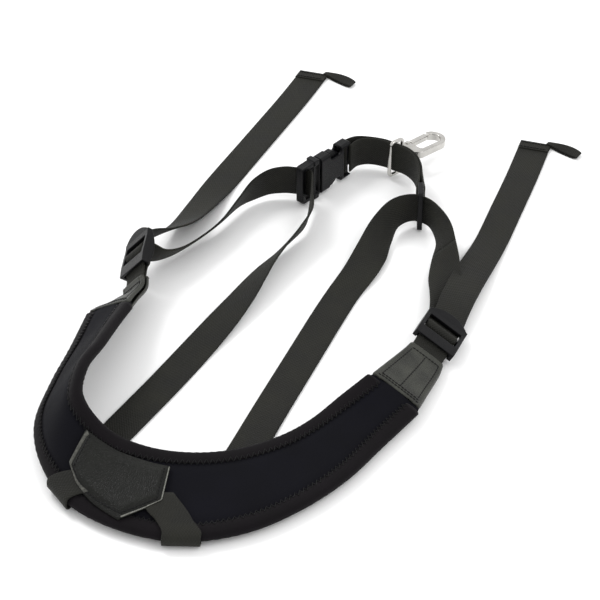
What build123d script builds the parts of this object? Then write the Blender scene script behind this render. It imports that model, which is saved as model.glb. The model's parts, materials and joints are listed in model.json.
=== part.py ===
from build123d import *
from math import cos, pi, radians, sin
import os

# Double-shoulder harness for a saxophone, lying open on a flat surface at z = 0.
# Millimetres, +Z up.  The crescent pad is at -Y and the hook at +Y.

# ---- webbing ----
WEB_W = 25.0            # width of every webbing strap
WEB_T = 1.4             # thickness of the webbing
GAP = 0.3               # air left between pieces that only lie on each other
LAYER_GAP = 0.4         # air between the two layers of a doubled webbing

# ---- neck pad ----
PAD_T = 5.0             # neoprene thickness
BIND_W = 9.0            # how far the edge binding reaches over the face
BIND_T = 1.0            # binding thickness
PATCH_T = 2.0           # leather patch thickness
TAB_T = 1.6             # leather tab thickness, each layer
TAB_INSERT = 10.0       # how far the pad reaches into a tab
TAB_NARROW = 28.0       # width of a tab at its adjuster end
TAB_END_Y = -7.0        # adjuster end of a tab, along the adjuster
TAB_STRAIGHT = 9.0      # last stretch of a tab, in line with the adjuster
SEW_GAP = 0.2           # air between pieces that are sewn to each other
FOLD_EASE = 3.6         # slack of a strap where it turns round the pad's edge
STRAP_EASE = 1.7        # slack of a strap where it lies on the curved pad

# ---- adjusters (ladder locks) ----
LOCK_CLEAR = 0.8        # side play of the webbing between the rails
RAIL_T = 3.0            # thickness of a side rail
RAIL_DEPTH = 4.2        # how far a rail swells below the frame
BAR_D = 3.6             # round back bar, the pivot of the adjuster
BAR_Y = 6.0             # back bar centre, along the adjuster
BAR_Z = -2.6            # back bar centre, below the frame plane
MID_D = 3.2             # round middle bar
MID_Y = 18.5
MID_Z = -0.5
FRONT_Y = 26.5          # near face of the front bar
FRONT_W = 5.5
FRONT_T = 3.4
LIP_L = 6.0             # reach of the grip lip past the front bar
PLATE_T = 1.8           # cover plate above the back bar
PLATE_Y0 = 2.5
PLATE_Y1 = 11.5

# ---- side-release buckle ----
BUCKLE_SIDE = 3.2       # wall beside a webbing slot
BASE_L = 20.5           # length of the latch base
BASE_T = 7.0
END_BAR = 3.5           # bar that the webbing turns round
SLOT_L = 9.0            # webbing slot of the latch
SHELL_T = 10.0          # receptacle thickness
SHELL_WALL = 1.8
SHELL_L = 34.0          # receptacle length
WINDOW_X0 = 31.0        # side windows, measured from the latch end
WINDOW_X1 = 44.5
PRONG_T = 5.2
PRONG_W = 3.0
PRONG_Y = 9.5           # prong arm centre, off the buckle axis
PRONG_GAP = 0.4
PRONG_REACH = 2.0       # how far a latch shoulder stands out through its window
FIT = 0.35              # play of the prongs in the receptacle

# ---- strap loop ----
LOOP_T = 4.0
LOOP_BAR = 3.6
LOOP_DEPTH = 14.5       # back bar centre to front bar centre

# ---- swivel snap hook ----
WIRE_D = 3.0            # ring wire
RING_DEPTH = 12.0       # front wire centre to back wire centre
RING_BEND = 3.0         # corner radius of the ring's wire
RING_CLEAR = 1.0        # play of the webbing in the ring, each side
BOSS_D = 8.5
BOSS_L = 5.0
POST_D = 4.0
POST_CLEAR = 0.08       # running fit of the post in the boss
HEAD_D = 6.4
HEAD_T = 1.1
HOOK_T = 6.0            # hook thickness
HOOK_L = 51.0           # ring middle to hook nose
HOOK_HALF = 11.0        # half of the hook's overall width
HOOK_BAR = 4.2          # width of the hook's curved bar
GATE_T = 2.8
GATE_W = 3.6
PIN_D = 2.0
PIN_CLEAR = 0.05
PIVOT_X = 19.0          # gate pin, from the ring middle
PIVOT_Y = 6.2
SPRING_WIRE = 0.5
SPRING_L = 1.5          # length of the gate's coil spring
SPRING_CLEAR = 0.12     # air round the spring inside the gate

HALF = WEB_W / 2
RAIL_IN = HALF + LOCK_CLEAR
RAIL_OUT = RAIL_IN + RAIL_T
BUCKLE_HALF = HALF + LOCK_CLEAR + BUCKLE_SIDE
ON_PAD = PAD_T / 2 + BIND_T + GAP + WEB_T / 2
PATCH_LIFT = ON_PAD + STRAP_EASE + WEB_T / 2 + 2 * GAP + PATCH_T / 2
WRAP = GAP + WEB_T / 2

# Pad stations: outer edge point, inner edge point, from the left tab round to the right tab.
PAD = [
    ((-151, -27, 6.5), (-119, -47, 33)),
    ((-160, -67, 6), (-127, -75, 39)),
    ((-170, -106, 6), (-134, -103, 45)),
    ((-176, -147, 6), (-143, -131, 49)),
    ((-167, -186, 6), (-144, -158, 44)),
    ((-148, -219, 6), (-126, -175, 28)),
    ((-114, -242, 6), (-100, -183, 19)),
    ((-75, -252, 6), (-70, -183, 13.5)),
    ((-34, -244, 6), (-40, -178, 12.5)),
    ((1, -223, 6), (-13, -165, 12)),
    ((30, -196, 6), (8, -148, 12)),
    ((55, -163, 6), (28, -129, 16.5)),
    ((80, -130, 6), (48, -112, 22.5)),
]

# Frames of the hardware: origin, direction across, direction along.
LEFT_LOCK = ((-120.6, 5.5, 20), (0.56, -0.31, 0.77), (0.067, 0.94, 0.33))
RIGHT_LOCK = ((91.9, -71.1, 13.5), (0.80, -0.37, -0.47), (0.42, 0.91, 0.0))
BUCKLE = ((-0.4, 121.5, 17.0), (0.667, 0.745, 0.0))
RING_AT = (75.5, 161.5, 17.0)
RING_FRONT = 6.0          # crossbar's middle to the ring's front wire centre
LEFT_END, RIGHT_END = (12, 314, 0), (191.5, 206, 0)     # middles of the free ends
END_ACROSS = (0.95, -0.3, 0)
RING_ALONG = (0.82, -0.57, 0.0)
HOOK_DIR = (0.74, 0.67, -0.06)
LOOP_AT = (92.0, 101.5, 17.0)
LOOP_DIR = (-0.05, -1.0, 0.0)


def vec(values):
    return Vector(*values)


def frame_of(spec):
    """Plane of an adjuster: x across the webbing, y along it, z off its face."""
    origin, across, along = map(vec, spec)
    return Plane(origin, x_dir=across, z_dir=across.cross(along))


def upright_frame(origin, along):
    """Plane with x along, y straight up and z out of the face."""
    along = vec(along)
    return Plane(vec(origin), x_dir=along, z_dir=along.cross(Vector(0, 0, 1)))


def smooth_pairs(pairs, steps):
    """Edge pairs on a smooth curve through all given pairs (centripetal Catmull-Rom)."""
    knots = [0.0]
    for (a0, b0), (a1, b1) in zip(pairs, pairs[1:]):
        reach = max((a1 - a0).length, (b1 - b0).length)
        knots.append(knots[-1] + max(reach, 0.5) ** 0.5)
    slopes = []
    for side in (0, 1):
        points = [pair[side] for pair in pairs]
        row = []
        for i in range(len(points)):
            lo = max(i - 1, 0)
            hi = min(i + 1, len(points) - 1)
            before = (points[i] - points[lo]) * (1 / max(knots[i] - knots[lo], 1e-9))
            after = (points[hi] - points[i]) * (1 / max(knots[hi] - knots[i], 1e-9))
            if lo == i:
                row.append(after)
            elif hi == i:
                row.append(before)
            else:
                share = (knots[i] - knots[lo]) / (knots[hi] - knots[lo])
                row.append(before * (1 - share) + after * share)
        slopes.append(row)
    result = []
    for i in range(len(pairs) - 1):
        span = knots[i + 1] - knots[i]
        for k in range(steps):
            t = k / steps
            h00 = 2 * t**3 - 3 * t**2 + 1
            h10 = (t**3 - 2 * t**2 + t) * span
            h01 = 3 * t**2 - 2 * t**3
            h11 = (t**3 - t**2) * span
            ends = []
            for side in (0, 1):
                point = pairs[i][side] * h00 + slopes[side][i] * h10
                point = point + pairs[i + 1][side] * h01 + slopes[side][i + 1] * h11
                ends.append(point)
            result.append(tuple(ends))
    result.append(pairs[-1])
    return result


def normals_of(pairs):
    """Unit normal of the strip at each pair: travel direction crossed with the width."""
    middles = [(a + b) * 0.5 for a, b in pairs]
    last = len(pairs) - 1
    normals = []
    for i, (a, b) in enumerate(pairs):
        travel = middles[min(i + 1, last)] - middles[max(i - 1, 0)]
        normals.append(travel.cross(b - a).normalized())
    return normals


def strip(pairs, outline, steps=3):
    """Solid with a constant outline along edge pairs.

    Each outline point is (side, inset, lift): side -1 or 1 picks an edge, inset moves it
    towards the middle, and lift moves it off the strip.
    """
    pairs = smooth_pairs(pairs, steps)
    wires = []
    for (a, b), normal in zip(pairs, normals_of(pairs)):
        across = (b - a).normalized()
        points = []
        for side, inset, lift in outline:
            edge = b - across * inset if side > 0 else a + across * inset
            points.append(edge + normal * lift)
        wires.append(Wire.make_polygon(points, close=True))
    return Solid.make_loft(wires, ruled=True)


def flat_outline(thickness, lift=0.0, inset=0.0):
    """Rectangular section for strip()."""
    low = lift - thickness / 2
    high = lift + thickness / 2
    return [(-1, inset, low), (1, inset, low), (1, inset, high), (-1, inset, high)]


def web(x, y, z, wx, wy, wz):
    """Webbing station: middle point and direction across, as an edge pair."""
    middle = Vector(x, y, z)
    across = Vector(wx, wy, wz).normalized() * HALF
    return middle - across, middle + across


def in_lock(plane, y, z):
    """Webbing station inside an adjuster, in its own frame."""
    return tuple(plane.from_local_coords((side * HALF, y, z)) for side in (-1, 1))


def in_buckle(x, z):
    """Webbing station in the latch base, standing on edge."""
    plane = upright_frame(*BUCKLE)
    return tuple(plane.from_local_coords((x, side * HALF, z)) for side in (-1, 1))


def tab_ends(lock, pair):
    """Wide edge of a tab at the pad and its narrow edges at the adjuster, low side first."""
    plane = frame_of(lock)
    wide = [vec(p) for p in pair]
    if lock is RIGHT_LOCK:
        wide.reverse()
    rows = []
    for y, width in ((TAB_END_Y - TAB_STRAIGHT, TAB_NARROW + 3), (TAB_END_Y, TAB_NARROW)):
        rows.append([plane.from_local_coords((s * width / 2, y, BAR_Z)) for s in (-1, 1)])
    return wide, rows[0], rows[1]


def tucked_pair(lock, pair):
    """Pad edge pair inside a tab, TAB_INSERT in from its wide edge."""
    wide, near, _ = tab_ends(lock, pair)
    along = (near[0] + near[1] - wide[0] - wide[1]) * 0.5
    share = TAB_INSERT / along.length
    ends = []
    for i in (0, 1):
        inwards = (wide[1 - i] - wide[i]).normalized()
        ends.append(wide[i] * (1 - share) + near[i] * share + inwards * 2.5)
    if lock is RIGHT_LOCK:
        ends.reverse()
    return tuple(ends)


PAD_STEPS = 3
PAD_LAST = len(PAD) - 1
PAD_PAIRS = smooth_pairs([(vec(a), vec(b)) for a, b in PAD], PAD_STEPS)
PAD_NORMALS = normals_of(PAD_PAIRS)


def on_pad(u, across, lift):
    """Point at station u, so many mm in from the outer edge and off the pad's middle."""
    index = min(int(u * PAD_STEPS), len(PAD_PAIRS) - 2)
    t = u * PAD_STEPS - index
    a = PAD_PAIRS[index][0] * (1 - t) + PAD_PAIRS[index + 1][0] * t
    b = PAD_PAIRS[index][1] * (1 - t) + PAD_PAIRS[index + 1][1] * t
    normal = (PAD_NORMALS[index] * (1 - t) + PAD_NORMALS[index + 1] * t).normalized()
    return a + (b - a).normalized() * across + normal * lift


def pad_station(left, right, lift):
    """Webbing station on the pad from two (u, across) places."""
    return on_pad(*left, lift), on_pad(*right, lift)


def fold_round_edge(u_first, u_second):
    """Webbing turning up round the pad's outer edge, from below to above."""
    beyond = BIND_T + SEW_GAP + GAP + WEB_T / 2 + FOLD_EASE
    lift = ON_PAD + STRAP_EASE
    places = [(BIND_W, -lift)]
    for angle in (0, 45, 90, 135, 180):
        places.append((-beyond * sin(radians(angle)), -lift * cos(radians(angle))))
    places.append((BIND_W, lift))
    return [pad_station((u_first, across), (u_second, across), height) for across, height in places]


def lock_turn(plane, near_tail, near_load):
    """Route through an adjuster: tail in, over the middle bar, load side out."""
    clear = MID_D / 2 + WRAP + 0.4
    tail_z = -FRONT_T / 2 - WRAP - 0.2
    load_z = tail_z - WEB_T - 0.9
    route = [(near_tail, tail_z), (FRONT_Y, tail_z), (MID_Y + 4.6, MID_Z - 1.2)]
    for angle in (20, 90, 160):
        turn = radians(angle)
        route.append((MID_Y + clear * cos(turn), MID_Z + clear * sin(turn)))
    route.append((MID_Y - 3.2, MID_Z - 2.2))
    route.append((MID_Y - 0.8, load_z))
    route.append((near_load, load_z - 0.3))
    return [in_lock(plane, y, z) for y, z in route]


def neck_pad():
    """Neoprene crescent, tucked into a leather tab at each end."""
    pairs = [tucked_pair(LEFT_LOCK, PAD[0])] + PAD_PAIRS + [tucked_pair(RIGHT_LOCK, PAD[-1])]
    return strip(pairs, flat_outline(PAD_T), 1)


def between(first, second, share):
    """Edge pair part of the way from one pair to another."""
    return tuple(first[i] * (1 - share) + second[i] * share for i in (0, 1))


def binding(side):
    """Folded trim round one edge of the pad, between the two tabs."""
    outer = PAD_T / 2 + BIND_T + SEW_GAP
    inner = PAD_T / 2 + SEW_GAP
    rim = -BIND_T - SEW_GAP
    outline = [(side, rim, -outer), (side, rim, outer), (side, BIND_W, outer),
               (side, BIND_W, inner), (side, -SEW_GAP, inner), (side, -SEW_GAP, -inner),
               (side, BIND_W, -inner), (side, BIND_W, -outer)]
    first = between(PAD_PAIRS[0], PAD_PAIRS[1], 0.15)
    last = between(PAD_PAIRS[-1], PAD_PAIRS[-2], 0.15)
    return strip([first] + PAD_PAIRS[1:-1] + [last], outline, 1)


def back_patch():
    """Shield-shaped leather patch over the two strap ends."""
    spans = [(4.72, 19, 43), (5.1, 12, 45), (5.5, 7, 47), (5.95, 4, 50), (6.4, 19, 52),
             (6.6, 25, 53)]
    pairs = [(on_pad(u, low, 0), on_pad(u, high, 0)) for u, low, high in spans]
    return strip(pairs, flat_outline(PATCH_T, PATCH_LIFT), 2)


def tab(lock, pair, facing):
    """One leather layer from the pad's end to the adjuster's anchor webbing."""
    plane = frame_of(lock)
    wide, near, narrow = tab_ends(lock, pair)
    along = (near[0] + near[1] - wide[0] - wide[1]) * 0.5
    lean = (wide[1] - wide[0]).cross(along).normalized()
    tucked = between(wide, near, 1.3 * TAB_INSERT / along.length)
    wide_lift = PAD_T / 2 + GAP + TAB_T / 2
    slim_lift = LAYER_GAP / 2 + WEB_T + GAP + TAB_T / 2
    rows = ((wide, lean, wide_lift), (tucked, lean, wide_lift), (near, plane.z_dir, slim_lift),
            (narrow, plane.z_dir, slim_lift))
    wires = []
    for (a, b), normal, lift in rows:
        low = (lift - TAB_T / 2) * facing
        high = (lift + TAB_T / 2) * facing
        points = [a + normal * low, b + normal * low, b + normal * high, a + normal * high]
        wires.append(Wire.make_polygon(points, close=True))
    return Solid.make_loft(wires, ruled=True)


def anchor_webbing(lock):
    """Short webbing from inside the tab, round the adjuster's back bar and back."""
    plane = frame_of(lock)
    layer = (LAYER_GAP + WEB_T) / 2
    radius = BAR_D / 2 + WRAP
    inside = TAB_END_Y - TAB_STRAIGHT + 1.0
    route = [(inside, layer), (TAB_END_Y, layer), (BAR_Y - 4.5, layer + 0.4)]
    for angle in (110, 60, 0, -60, -110):
        turn = radians(angle)
        route.append((BAR_Y + radius * cos(turn), radius * sin(turn)))
    route += [(BAR_Y - 4.5, -layer - 0.4), (TAB_END_Y, -layer), (inside, -layer)]
    return strip([in_lock(plane, y, z + BAR_Z) for y, z in route], flat_outline(WEB_T))


def rail_profile():
    """Side rail of an adjuster: flat above, swelling below in a crescent."""
    end_y = FRONT_Y + FRONT_W
    top = PLATE_T + 1.5
    with BuildSketch(Plane.YZ) as rail:
        with BuildLine():
            Polyline((PLATE_Y0, top), (PLATE_Y1, top), (FRONT_Y, FRONT_T / 2),
                     (end_y, FRONT_T / 2))
            Line((end_y, FRONT_T / 2), (end_y, -FRONT_T / 2))
            ThreePointArc((end_y, -FRONT_T / 2), (end_y * 0.5, BAR_Z - RAIL_DEPTH + 1.0),
                          (PLATE_Y0, BAR_Z - 0.4))
            Line((PLATE_Y0, BAR_Z - 0.4), (PLATE_Y0, top))
        make_face()
    return rail.sketch


def ladder_lock(lock):
    """Ladder-lock adjuster in one moulding: two rails, cover plate, three bars and a lip."""
    rail = extrude(rail_profile(), RAIL_T)
    body = Pos(RAIL_IN, 0, 0) * rail + Pos(-RAIL_OUT, 0, 0) * rail
    plate_l = PLATE_Y1 - PLATE_Y0
    plate = Box(2 * RAIL_OUT, plate_l, PLATE_T)
    body += Pos(0, PLATE_Y0 + plate_l / 2, 1.5 + PLATE_T / 2) * plate
    across = Rotation(0, 90, 0)
    body += Pos(0, BAR_Y, BAR_Z) * across * Cylinder(BAR_D / 2, 2 * RAIL_IN + 1)
    body += Pos(0, MID_Y, MID_Z) * across * Cylinder(MID_D / 2, 2 * RAIL_IN + 1)
    front = Box(2 * RAIL_IN + 1, FRONT_W, FRONT_T)
    body += Pos(0, FRONT_Y + FRONT_W / 2, 0) * front
    body += grip_lip()
    return frame_of(lock) * body


def grip_lip():
    """Curved thumb lip past the front bar."""
    start = FRONT_Y + FRONT_W - 0.5
    with BuildSketch() as lip:
        with BuildLine():
            Line((-RAIL_OUT, start), (RAIL_OUT, start))
            ThreePointArc((RAIL_OUT, start), (0, start + LIP_L), (-RAIL_OUT, start))
        make_face()
    plate = extrude(lip.sketch, 2.0)
    hinge = Pos(0, start, -0.3) * Rotation(14, 0, 0) * Pos(0, -start, 0)
    return hinge * plate


def left_strap():
    """One webbing: tail, adjuster, latch, floor, round the pad's edge, under the patch."""
    plane = frame_of(LEFT_LOCK)
    tail = [web(*LEFT_END, *END_ACROSS), web(-5, 274, 0, 0.917, -0.4, 0),
            web(-38.5, 201, 0, 0.91, -0.42, 0), web(-62, 150, 0.2, 0.91, -0.42, 0),
            web(-77, 113, 4, 0.86, -0.42, 0.22), web(-89, 83, 9.5, 0.78, -0.42, 0.42),
            web(-102, 58, 19, 0.67, -0.4, 0.62)]
    forward = [web(-105, 30, 18.5, 0.52, -0.42, 0.74), web(-94, 38.5, 14.5, 0.45, -0.52, 0.72),
               web(-79, 56, 12.0, 0.3, -0.65, 0.7), web(-61, 80, 12.0, 0.15, -0.72, 0.68),
               web(-47, 105, 13, 0.02, -0.65, 0.76), web(-35, 121, 14.5, -0.05, -0.3, 0.95),
               web(-23, 129, 16, 0, -0.08, 1)]
    turn = [in_buckle(x, z) for x, z in ((-0.5, -13.5), (3.6, -7.2), (7.0, -2.4), (8.3, 1.5),
                                         (7.6, 6.0), (3.2, 10.5))]
    down = [web(8, 101.5, 16, 0.1, 0, 0.99), web(6, 82, 15, 0.3, -0.15, 0.94),
            web(-3, 65, 13, 0.4, -0.25, 0.87), web(-14, 47.5, 11.2, 0.45, -0.4, 0.8),
            web(-25, 30.5, 9.6, 0.6, -0.42, 0.68), web(-34, 13.5, 7.6, 0.72, -0.45, 0.52),
            web(-42.4, -3, 5.4, 0.8, -0.47, 0.35), web(-57, -29.5, 2.6, 0.86, -0.48, 0.12),
            web(-77, -64, 0, 0.87, -0.49, 0), web(-96, -98, 0, 0.87, -0.49, 0),
            web(-116, -132, 0, 0.87, -0.49, 0), web(-134, -163, 0, 0.86, -0.51, 0)]
    lift = ON_PAD + STRAP_EASE
    top = [pad_station((4.75, 19), (5.52, 11), lift), pad_station((5.15, 33), (5.95, 19), lift)]
    route = tail + lock_turn(plane, FRONT_Y + 6, MID_Y + 4) + forward + turn + down
    route += fold_round_edge(4.3, 5.05) + top
    return strip(route, flat_outline(WEB_T))


def right_strap():
    """One webbing: tail, adjuster, on edge through the loop, floor, pad edge, patch."""
    plane = frame_of(RIGHT_LOCK)
    tail = [web(*RIGHT_END, *END_ACROSS), web(184, 183, 0, 0.94, -0.34, 0),
            web(175, 155.7, 0, 0.94, -0.33, 0), web(159.6, 112, 0, 0.94, -0.33, 0),
            web(144.8, 70, 0.6, 0.94, -0.33, 0), web(133, 38.6, 5, 0.92, -0.34, -0.15),
            web(122, 9, 10, 0.88, -0.35, -0.3), web(112.5, -18, 12.5, 0.84, -0.36, -0.4)]
    forward = [web(103.5, -26, 8.2, 0.82, -0.35, -0.44), web(105, -8, 8.3, 0.87, -0.32, -0.3),
               web(106, 10, 8.8, 0.9, -0.28, 0.05), web(107, 28, 10.5, 0.82, -0.25, 0.42),
               web(107.5, 46, 13.2, 0.62, -0.2, 0.74), web(107.5, 61, 15.5, 0.38, -0.08, 0.9),
               web(103.5, 76, 16.4, 0.15, 0, 0.98)]
    crest = [web(97, 88, 16.5, 0, 0, 1), web(86.5, 93.5, 16.5, 0, 0, 1),
             web(73, 88, 15.5, -0.15, 0.15, 0.95), web(62.5, 71, 12, -0.5, 0.4, 0.75),
             web(54, 50, 7.5, -0.8, 0.42, 0.4), web(44.5, 30, 3.5, -0.9, 0.4, 0.12)]
    down = [web(32, 8, 0, -0.93, 0.37, 0), web(21, -18, 0, -0.93, 0.37, 0),
            web(0, -71, 0, -0.93, 0.36, 0), web(-19, -119, 0, -0.93, 0.36, 0),
            web(-38, -168, 0, -0.93, 0.36, 0), web(-55, -210, 0, -0.94, 0.34, 0)]
    lift = ON_PAD + STRAP_EASE
    top = [pad_station((7.07, 18), (6.4, 13), lift), pad_station((6.72, 32), (6.12, 25), lift)]
    route = tail + lock_turn(plane, FRONT_Y + 8, MID_Y + 6) + forward + crest + down
    route += fold_round_edge(7.35, 6.65) + top
    return strip(route, flat_outline(WEB_T))


def pull_loop(end, offset, heading):
    """Narrow loop sewn to the corner of a free end, its middle offset from that corner."""
    corner = vec(end) + vec(END_ACROSS).normalized() * (WEB_W / 2)
    ring = SlotOverall(26, 8.5) - SlotOverall(21.5, 4)
    solid = extrude(ring, 2.0)
    return Pos(corner.X + offset[0], corner.Y + offset[1], -WEB_T / 2) * Rotation(0, 0, heading) * solid


def buckle_latch():
    """Latch base with two webbing slots, a stop collar and a guide tongue."""
    slot_w = 2 * (HALF + LOCK_CLEAR)
    base = fillet(Box(BASE_L, 2 * BUCKLE_HALF, BASE_T).edges().filter_by(Axis.Z), 2.0)
    body = Pos(BASE_L / 2, 0, 0) * base
    body -= Pos(END_BAR + SLOT_L / 2, 0, 0) * Box(SLOT_L, slot_w, BASE_T + 2)
    body -= Pos(16.8, 0, 0) * Box(3.4, slot_w, BASE_T + 2)
    collar = Box(5.0, 2 * BUCKLE_HALF + 2.4, SHELL_T - 1)
    collar -= Box(6.0, slot_w, SHELL_T)
    body += Pos(15.4, 0, 0) * collar
    tongue_l = 20.0
    tongue = fillet(Box(tongue_l, 6.0, 3.0).edges().filter_by(Axis.Z).sort_by(Axis.X)[-2:], 1.5)
    body += Pos(BASE_L + tongue_l / 2, 0, 0) * tongue
    return upright_frame(*BUCKLE) * body


def latch_prong(side):
    """Flexing side arm of the latch, with its shoulder in the receptacle's window."""
    start = BASE_L + PRONG_GAP
    low = PRONG_Y - PRONG_W / 2
    high = PRONG_Y + PRONG_W / 2
    out = BUCKLE_HALF - SHELL_WALL - 0.8 + PRONG_REACH
    tip = WINDOW_X1 - 1.0
    with BuildSketch() as arm:
        with BuildLine():
            Polyline((start, low), (start, high), (WINDOW_X0 - 3, high + 0.6),
                     (WINDOW_X0 + FIT, high + 1.0), (WINDOW_X0 + FIT, out), (WINDOW_X0 + 5, out),
                     (tip, high - 0.5), (tip, low), (start, low))
        make_face()
    solid = Pos(0, 0, -PRONG_T / 2) * extrude(arm.sketch, PRONG_T)
    if side < 0:
        solid = mirror(solid, Plane.XZ)
    return upright_frame(*BUCKLE) * solid


def buckle_receptacle():
    """Hollow receptacle with two side windows and a webbing bar at its far end."""
    half = BUCKLE_HALF - 0.4
    mouth = BASE_L + GAP
    end = mouth + SHELL_L
    block = fillet(Box(SHELL_L, 2 * half, SHELL_T).edges().filter_by(Axis.X), 2.6)
    body = Pos(mouth + SHELL_L / 2, 0, 0) * block
    pocket_l = WINDOW_X1 + 1.0 - mouth
    pocket = Box(pocket_l + 1, 2 * (half - SHELL_WALL), PRONG_T + 2 * FIT)
    body -= Pos(mouth + (pocket_l - 1) / 2, 0, 0) * pocket
    window_l = WINDOW_X1 - WINDOW_X0
    window = fillet(Box(window_l, 14, SHELL_T + 2).edges().filter_by(Axis.Z), 3.5)
    for side in (-1, 1):
        body -= Pos(WINDOW_X0 + window_l / 2, side * (half + 1.0), 0) * window
    slot = Box(4.2, 2 * (HALF + LOCK_CLEAR), SHELL_T + 2)
    body -= Pos(end - END_BAR - 2.1, 0, 0) * slot
    trim = Box(END_BAR + 5, 2 * (HALF + LOCK_CLEAR), (SHELL_T - 5.0) / 2)
    for side in (-1, 1):
        body -= Pos(end - END_BAR / 2 + 1, 0, side * (2.5 + (SHELL_T - 5.0) / 4)) * trim
    return upright_frame(*BUCKLE) * body


def receptacle_bar():
    """World position of the receptacle's webbing bar."""
    x = BASE_L + GAP + SHELL_L - END_BAR / 2
    return upright_frame(*BUCKLE).from_local_coords((x, 0, 0))


def crossbar_route():
    """Middle line of the crossbar from the receptacle's bar to the loop's back bar."""
    ring = vec(RING_AT)
    along = vec(RING_ALONG).normalized()
    line = [receptacle_bar(), Vector(44.5, 170, 17), Vector(55, 171, 17)]
    line += [ring + along * s for s in (-10, 0, 10)]
    line += [Vector(90, 146, 17), Vector(92.6, 135, 17), Vector(93, 122, 17)]
    line += [Vector(92.6, 111, 17), vec(LOOP_AT)]
    return line


def crossbar_webbing():
    """Doubled webbing: front layer, round the loop's bar, back layer, round the buckle's bar."""
    line = crossbar_route()
    up = Vector(0, 0, 1)
    normals = []
    for i in range(len(line)):
        travel = line[min(i + 1, len(line) - 1)] - line[max(i - 1, 0)]
        normals.append(travel.cross(up).normalized())
    layer = (WEB_T + LAYER_GAP) / 2
    first_r = 2.5 + WRAP + 0.8
    last_r = LOOP_BAR / 2 + WRAP
    offsets = [layer] * len(line)
    offsets[1] = 2.6
    offsets[-2] = 1.7
    front = [line[i] + normals[i] * offsets[i] for i in range(1, len(line) - 1)]
    back = [line[i] - normals[i] * offsets[i] for i in range(1, len(line) - 1)]
    back.reverse()
    end_dir = (line[-1] - line[-2]).normalized()
    end_side = end_dir.cross(up)
    around_end = []
    for angle in (80, 40, 0, -40, -80):
        turn = radians(angle)
        around_end.append(line[-1] + end_dir * last_r * cos(turn) + end_side * last_r * sin(turn))
    start_dir = vec(BUCKLE[1]).normalized() * -1
    start_side = start_dir.cross(up)
    around_start = []
    for angle in (100, 60, 0, -60):
        turn = radians(angle)
        around_start.append(line[0] + start_dir * (END_BAR / 2 + WRAP + 1.0) * cos(turn)
                            + start_side * first_r * sin(turn))
    start_front = line[0] - start_side * first_r - start_dir * 1.5
    path = [start_front] + front + around_end + back + around_start
    pairs = [(p - up * HALF, p + up * HALF) for p in path]
    return strip(pairs, flat_outline(WEB_T))


def strap_loop():
    """Plastic loop: round back bar in the crossbar, open window for the right strap."""
    inside = 2 * (HALF + LOCK_CLEAR)
    height = inside + 2 * LOOP_BAR
    depth = LOOP_DEPTH + LOOP_BAR
    plan = RectangleRounded(depth, height, 2.4)
    body = Pos(LOOP_DEPTH / 2, 0, -LOOP_T / 2) * extrude(plan, LOOP_T)
    hole = Box(LOOP_DEPTH - LOOP_BAR, inside, LOOP_T + 2)
    body -= Pos(LOOP_DEPTH / 2, 0, 0) * hole
    body -= Pos(0, 0, 0) * Box(LOOP_BAR + 2, inside, LOOP_T + 2)
    body += Rotation(90, 0, 0) * Cylinder(LOOP_BAR / 2, inside + 1)
    return upright_frame(LOOP_AT, LOOP_DIR) * body


def hook_frame():
    """Plane at the ring's middle: x along the hook, y towards its gate, z off its face."""
    along = vec(HOOK_DIR).normalized()
    side = along.cross(Vector(0, 0, 1)).normalized()
    middle = vec(RING_AT) + along * (RING_FRONT - RING_DEPTH / 2)
    return Plane(middle, x_dir=along, z_dir=along.cross(side) * -1)


def hook_ring():
    """Rectangular wire ring round the crossbar, with the swivel boss on its far side."""
    tall = WEB_W + 2 * RING_CLEAR + WIRE_D
    half_tall = tall / 2 - RING_BEND
    half_deep = RING_DEPTH / 2 - RING_BEND
    quarter = Rotation(90, 0, 0) * Torus(RING_BEND, WIRE_D / 2, major_angle=90, align=None)
    boss = Rotation(0, 90, 0) * Cylinder(BOSS_D / 2, BOSS_L)
    body = Pos(boss_start() + BOSS_L / 2, 0, 0) * boss
    for turn, (i, k) in enumerate(((1, 1), (-1, 1), (-1, -1), (1, -1))):
        body += Pos(i * half_deep, 0, k * half_tall) * Rotation(0, -90 * turn, 0) * quarter
    for side in (-1, 1):
        body += Pos(side * RING_DEPTH / 2, 0, 0) * Cylinder(WIRE_D / 2, 2 * half_tall)
        rung = Rotation(0, 90, 0) * Cylinder(WIRE_D / 2, 2 * half_deep)
        body += Pos(0, 0, side * tall / 2) * rung
    bore = Rotation(0, 90, 0) * Cylinder(POST_D / 2 + POST_CLEAR, 3 * BOSS_L)
    body -= Pos(boss_start() + BOSS_L / 2, 0, 0) * bore
    return hook_frame() * body


def boss_start():
    return RING_DEPTH / 2 - WIRE_D / 2 + 0.3


def hook_start():
    return boss_start() + BOSS_L + 0.4


def swivel_post():
    """Headed post that turns in the ring's boss."""
    head_x = RING_DEPTH / 2 - WIRE_D / 2 - 0.2 - HEAD_T
    shank_l = hook_start() - head_x
    shank = Pos(head_x + shank_l / 2, 0, 0) * Rotation(0, 90, 0) * Cylinder(POST_D / 2, shank_l)
    head = Pos(head_x + HEAD_T / 2, 0, 0) * Rotation(0, 90, 0) * Cylinder(HEAD_D / 2, HEAD_T)
    return hook_frame() * (shank + head)


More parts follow.
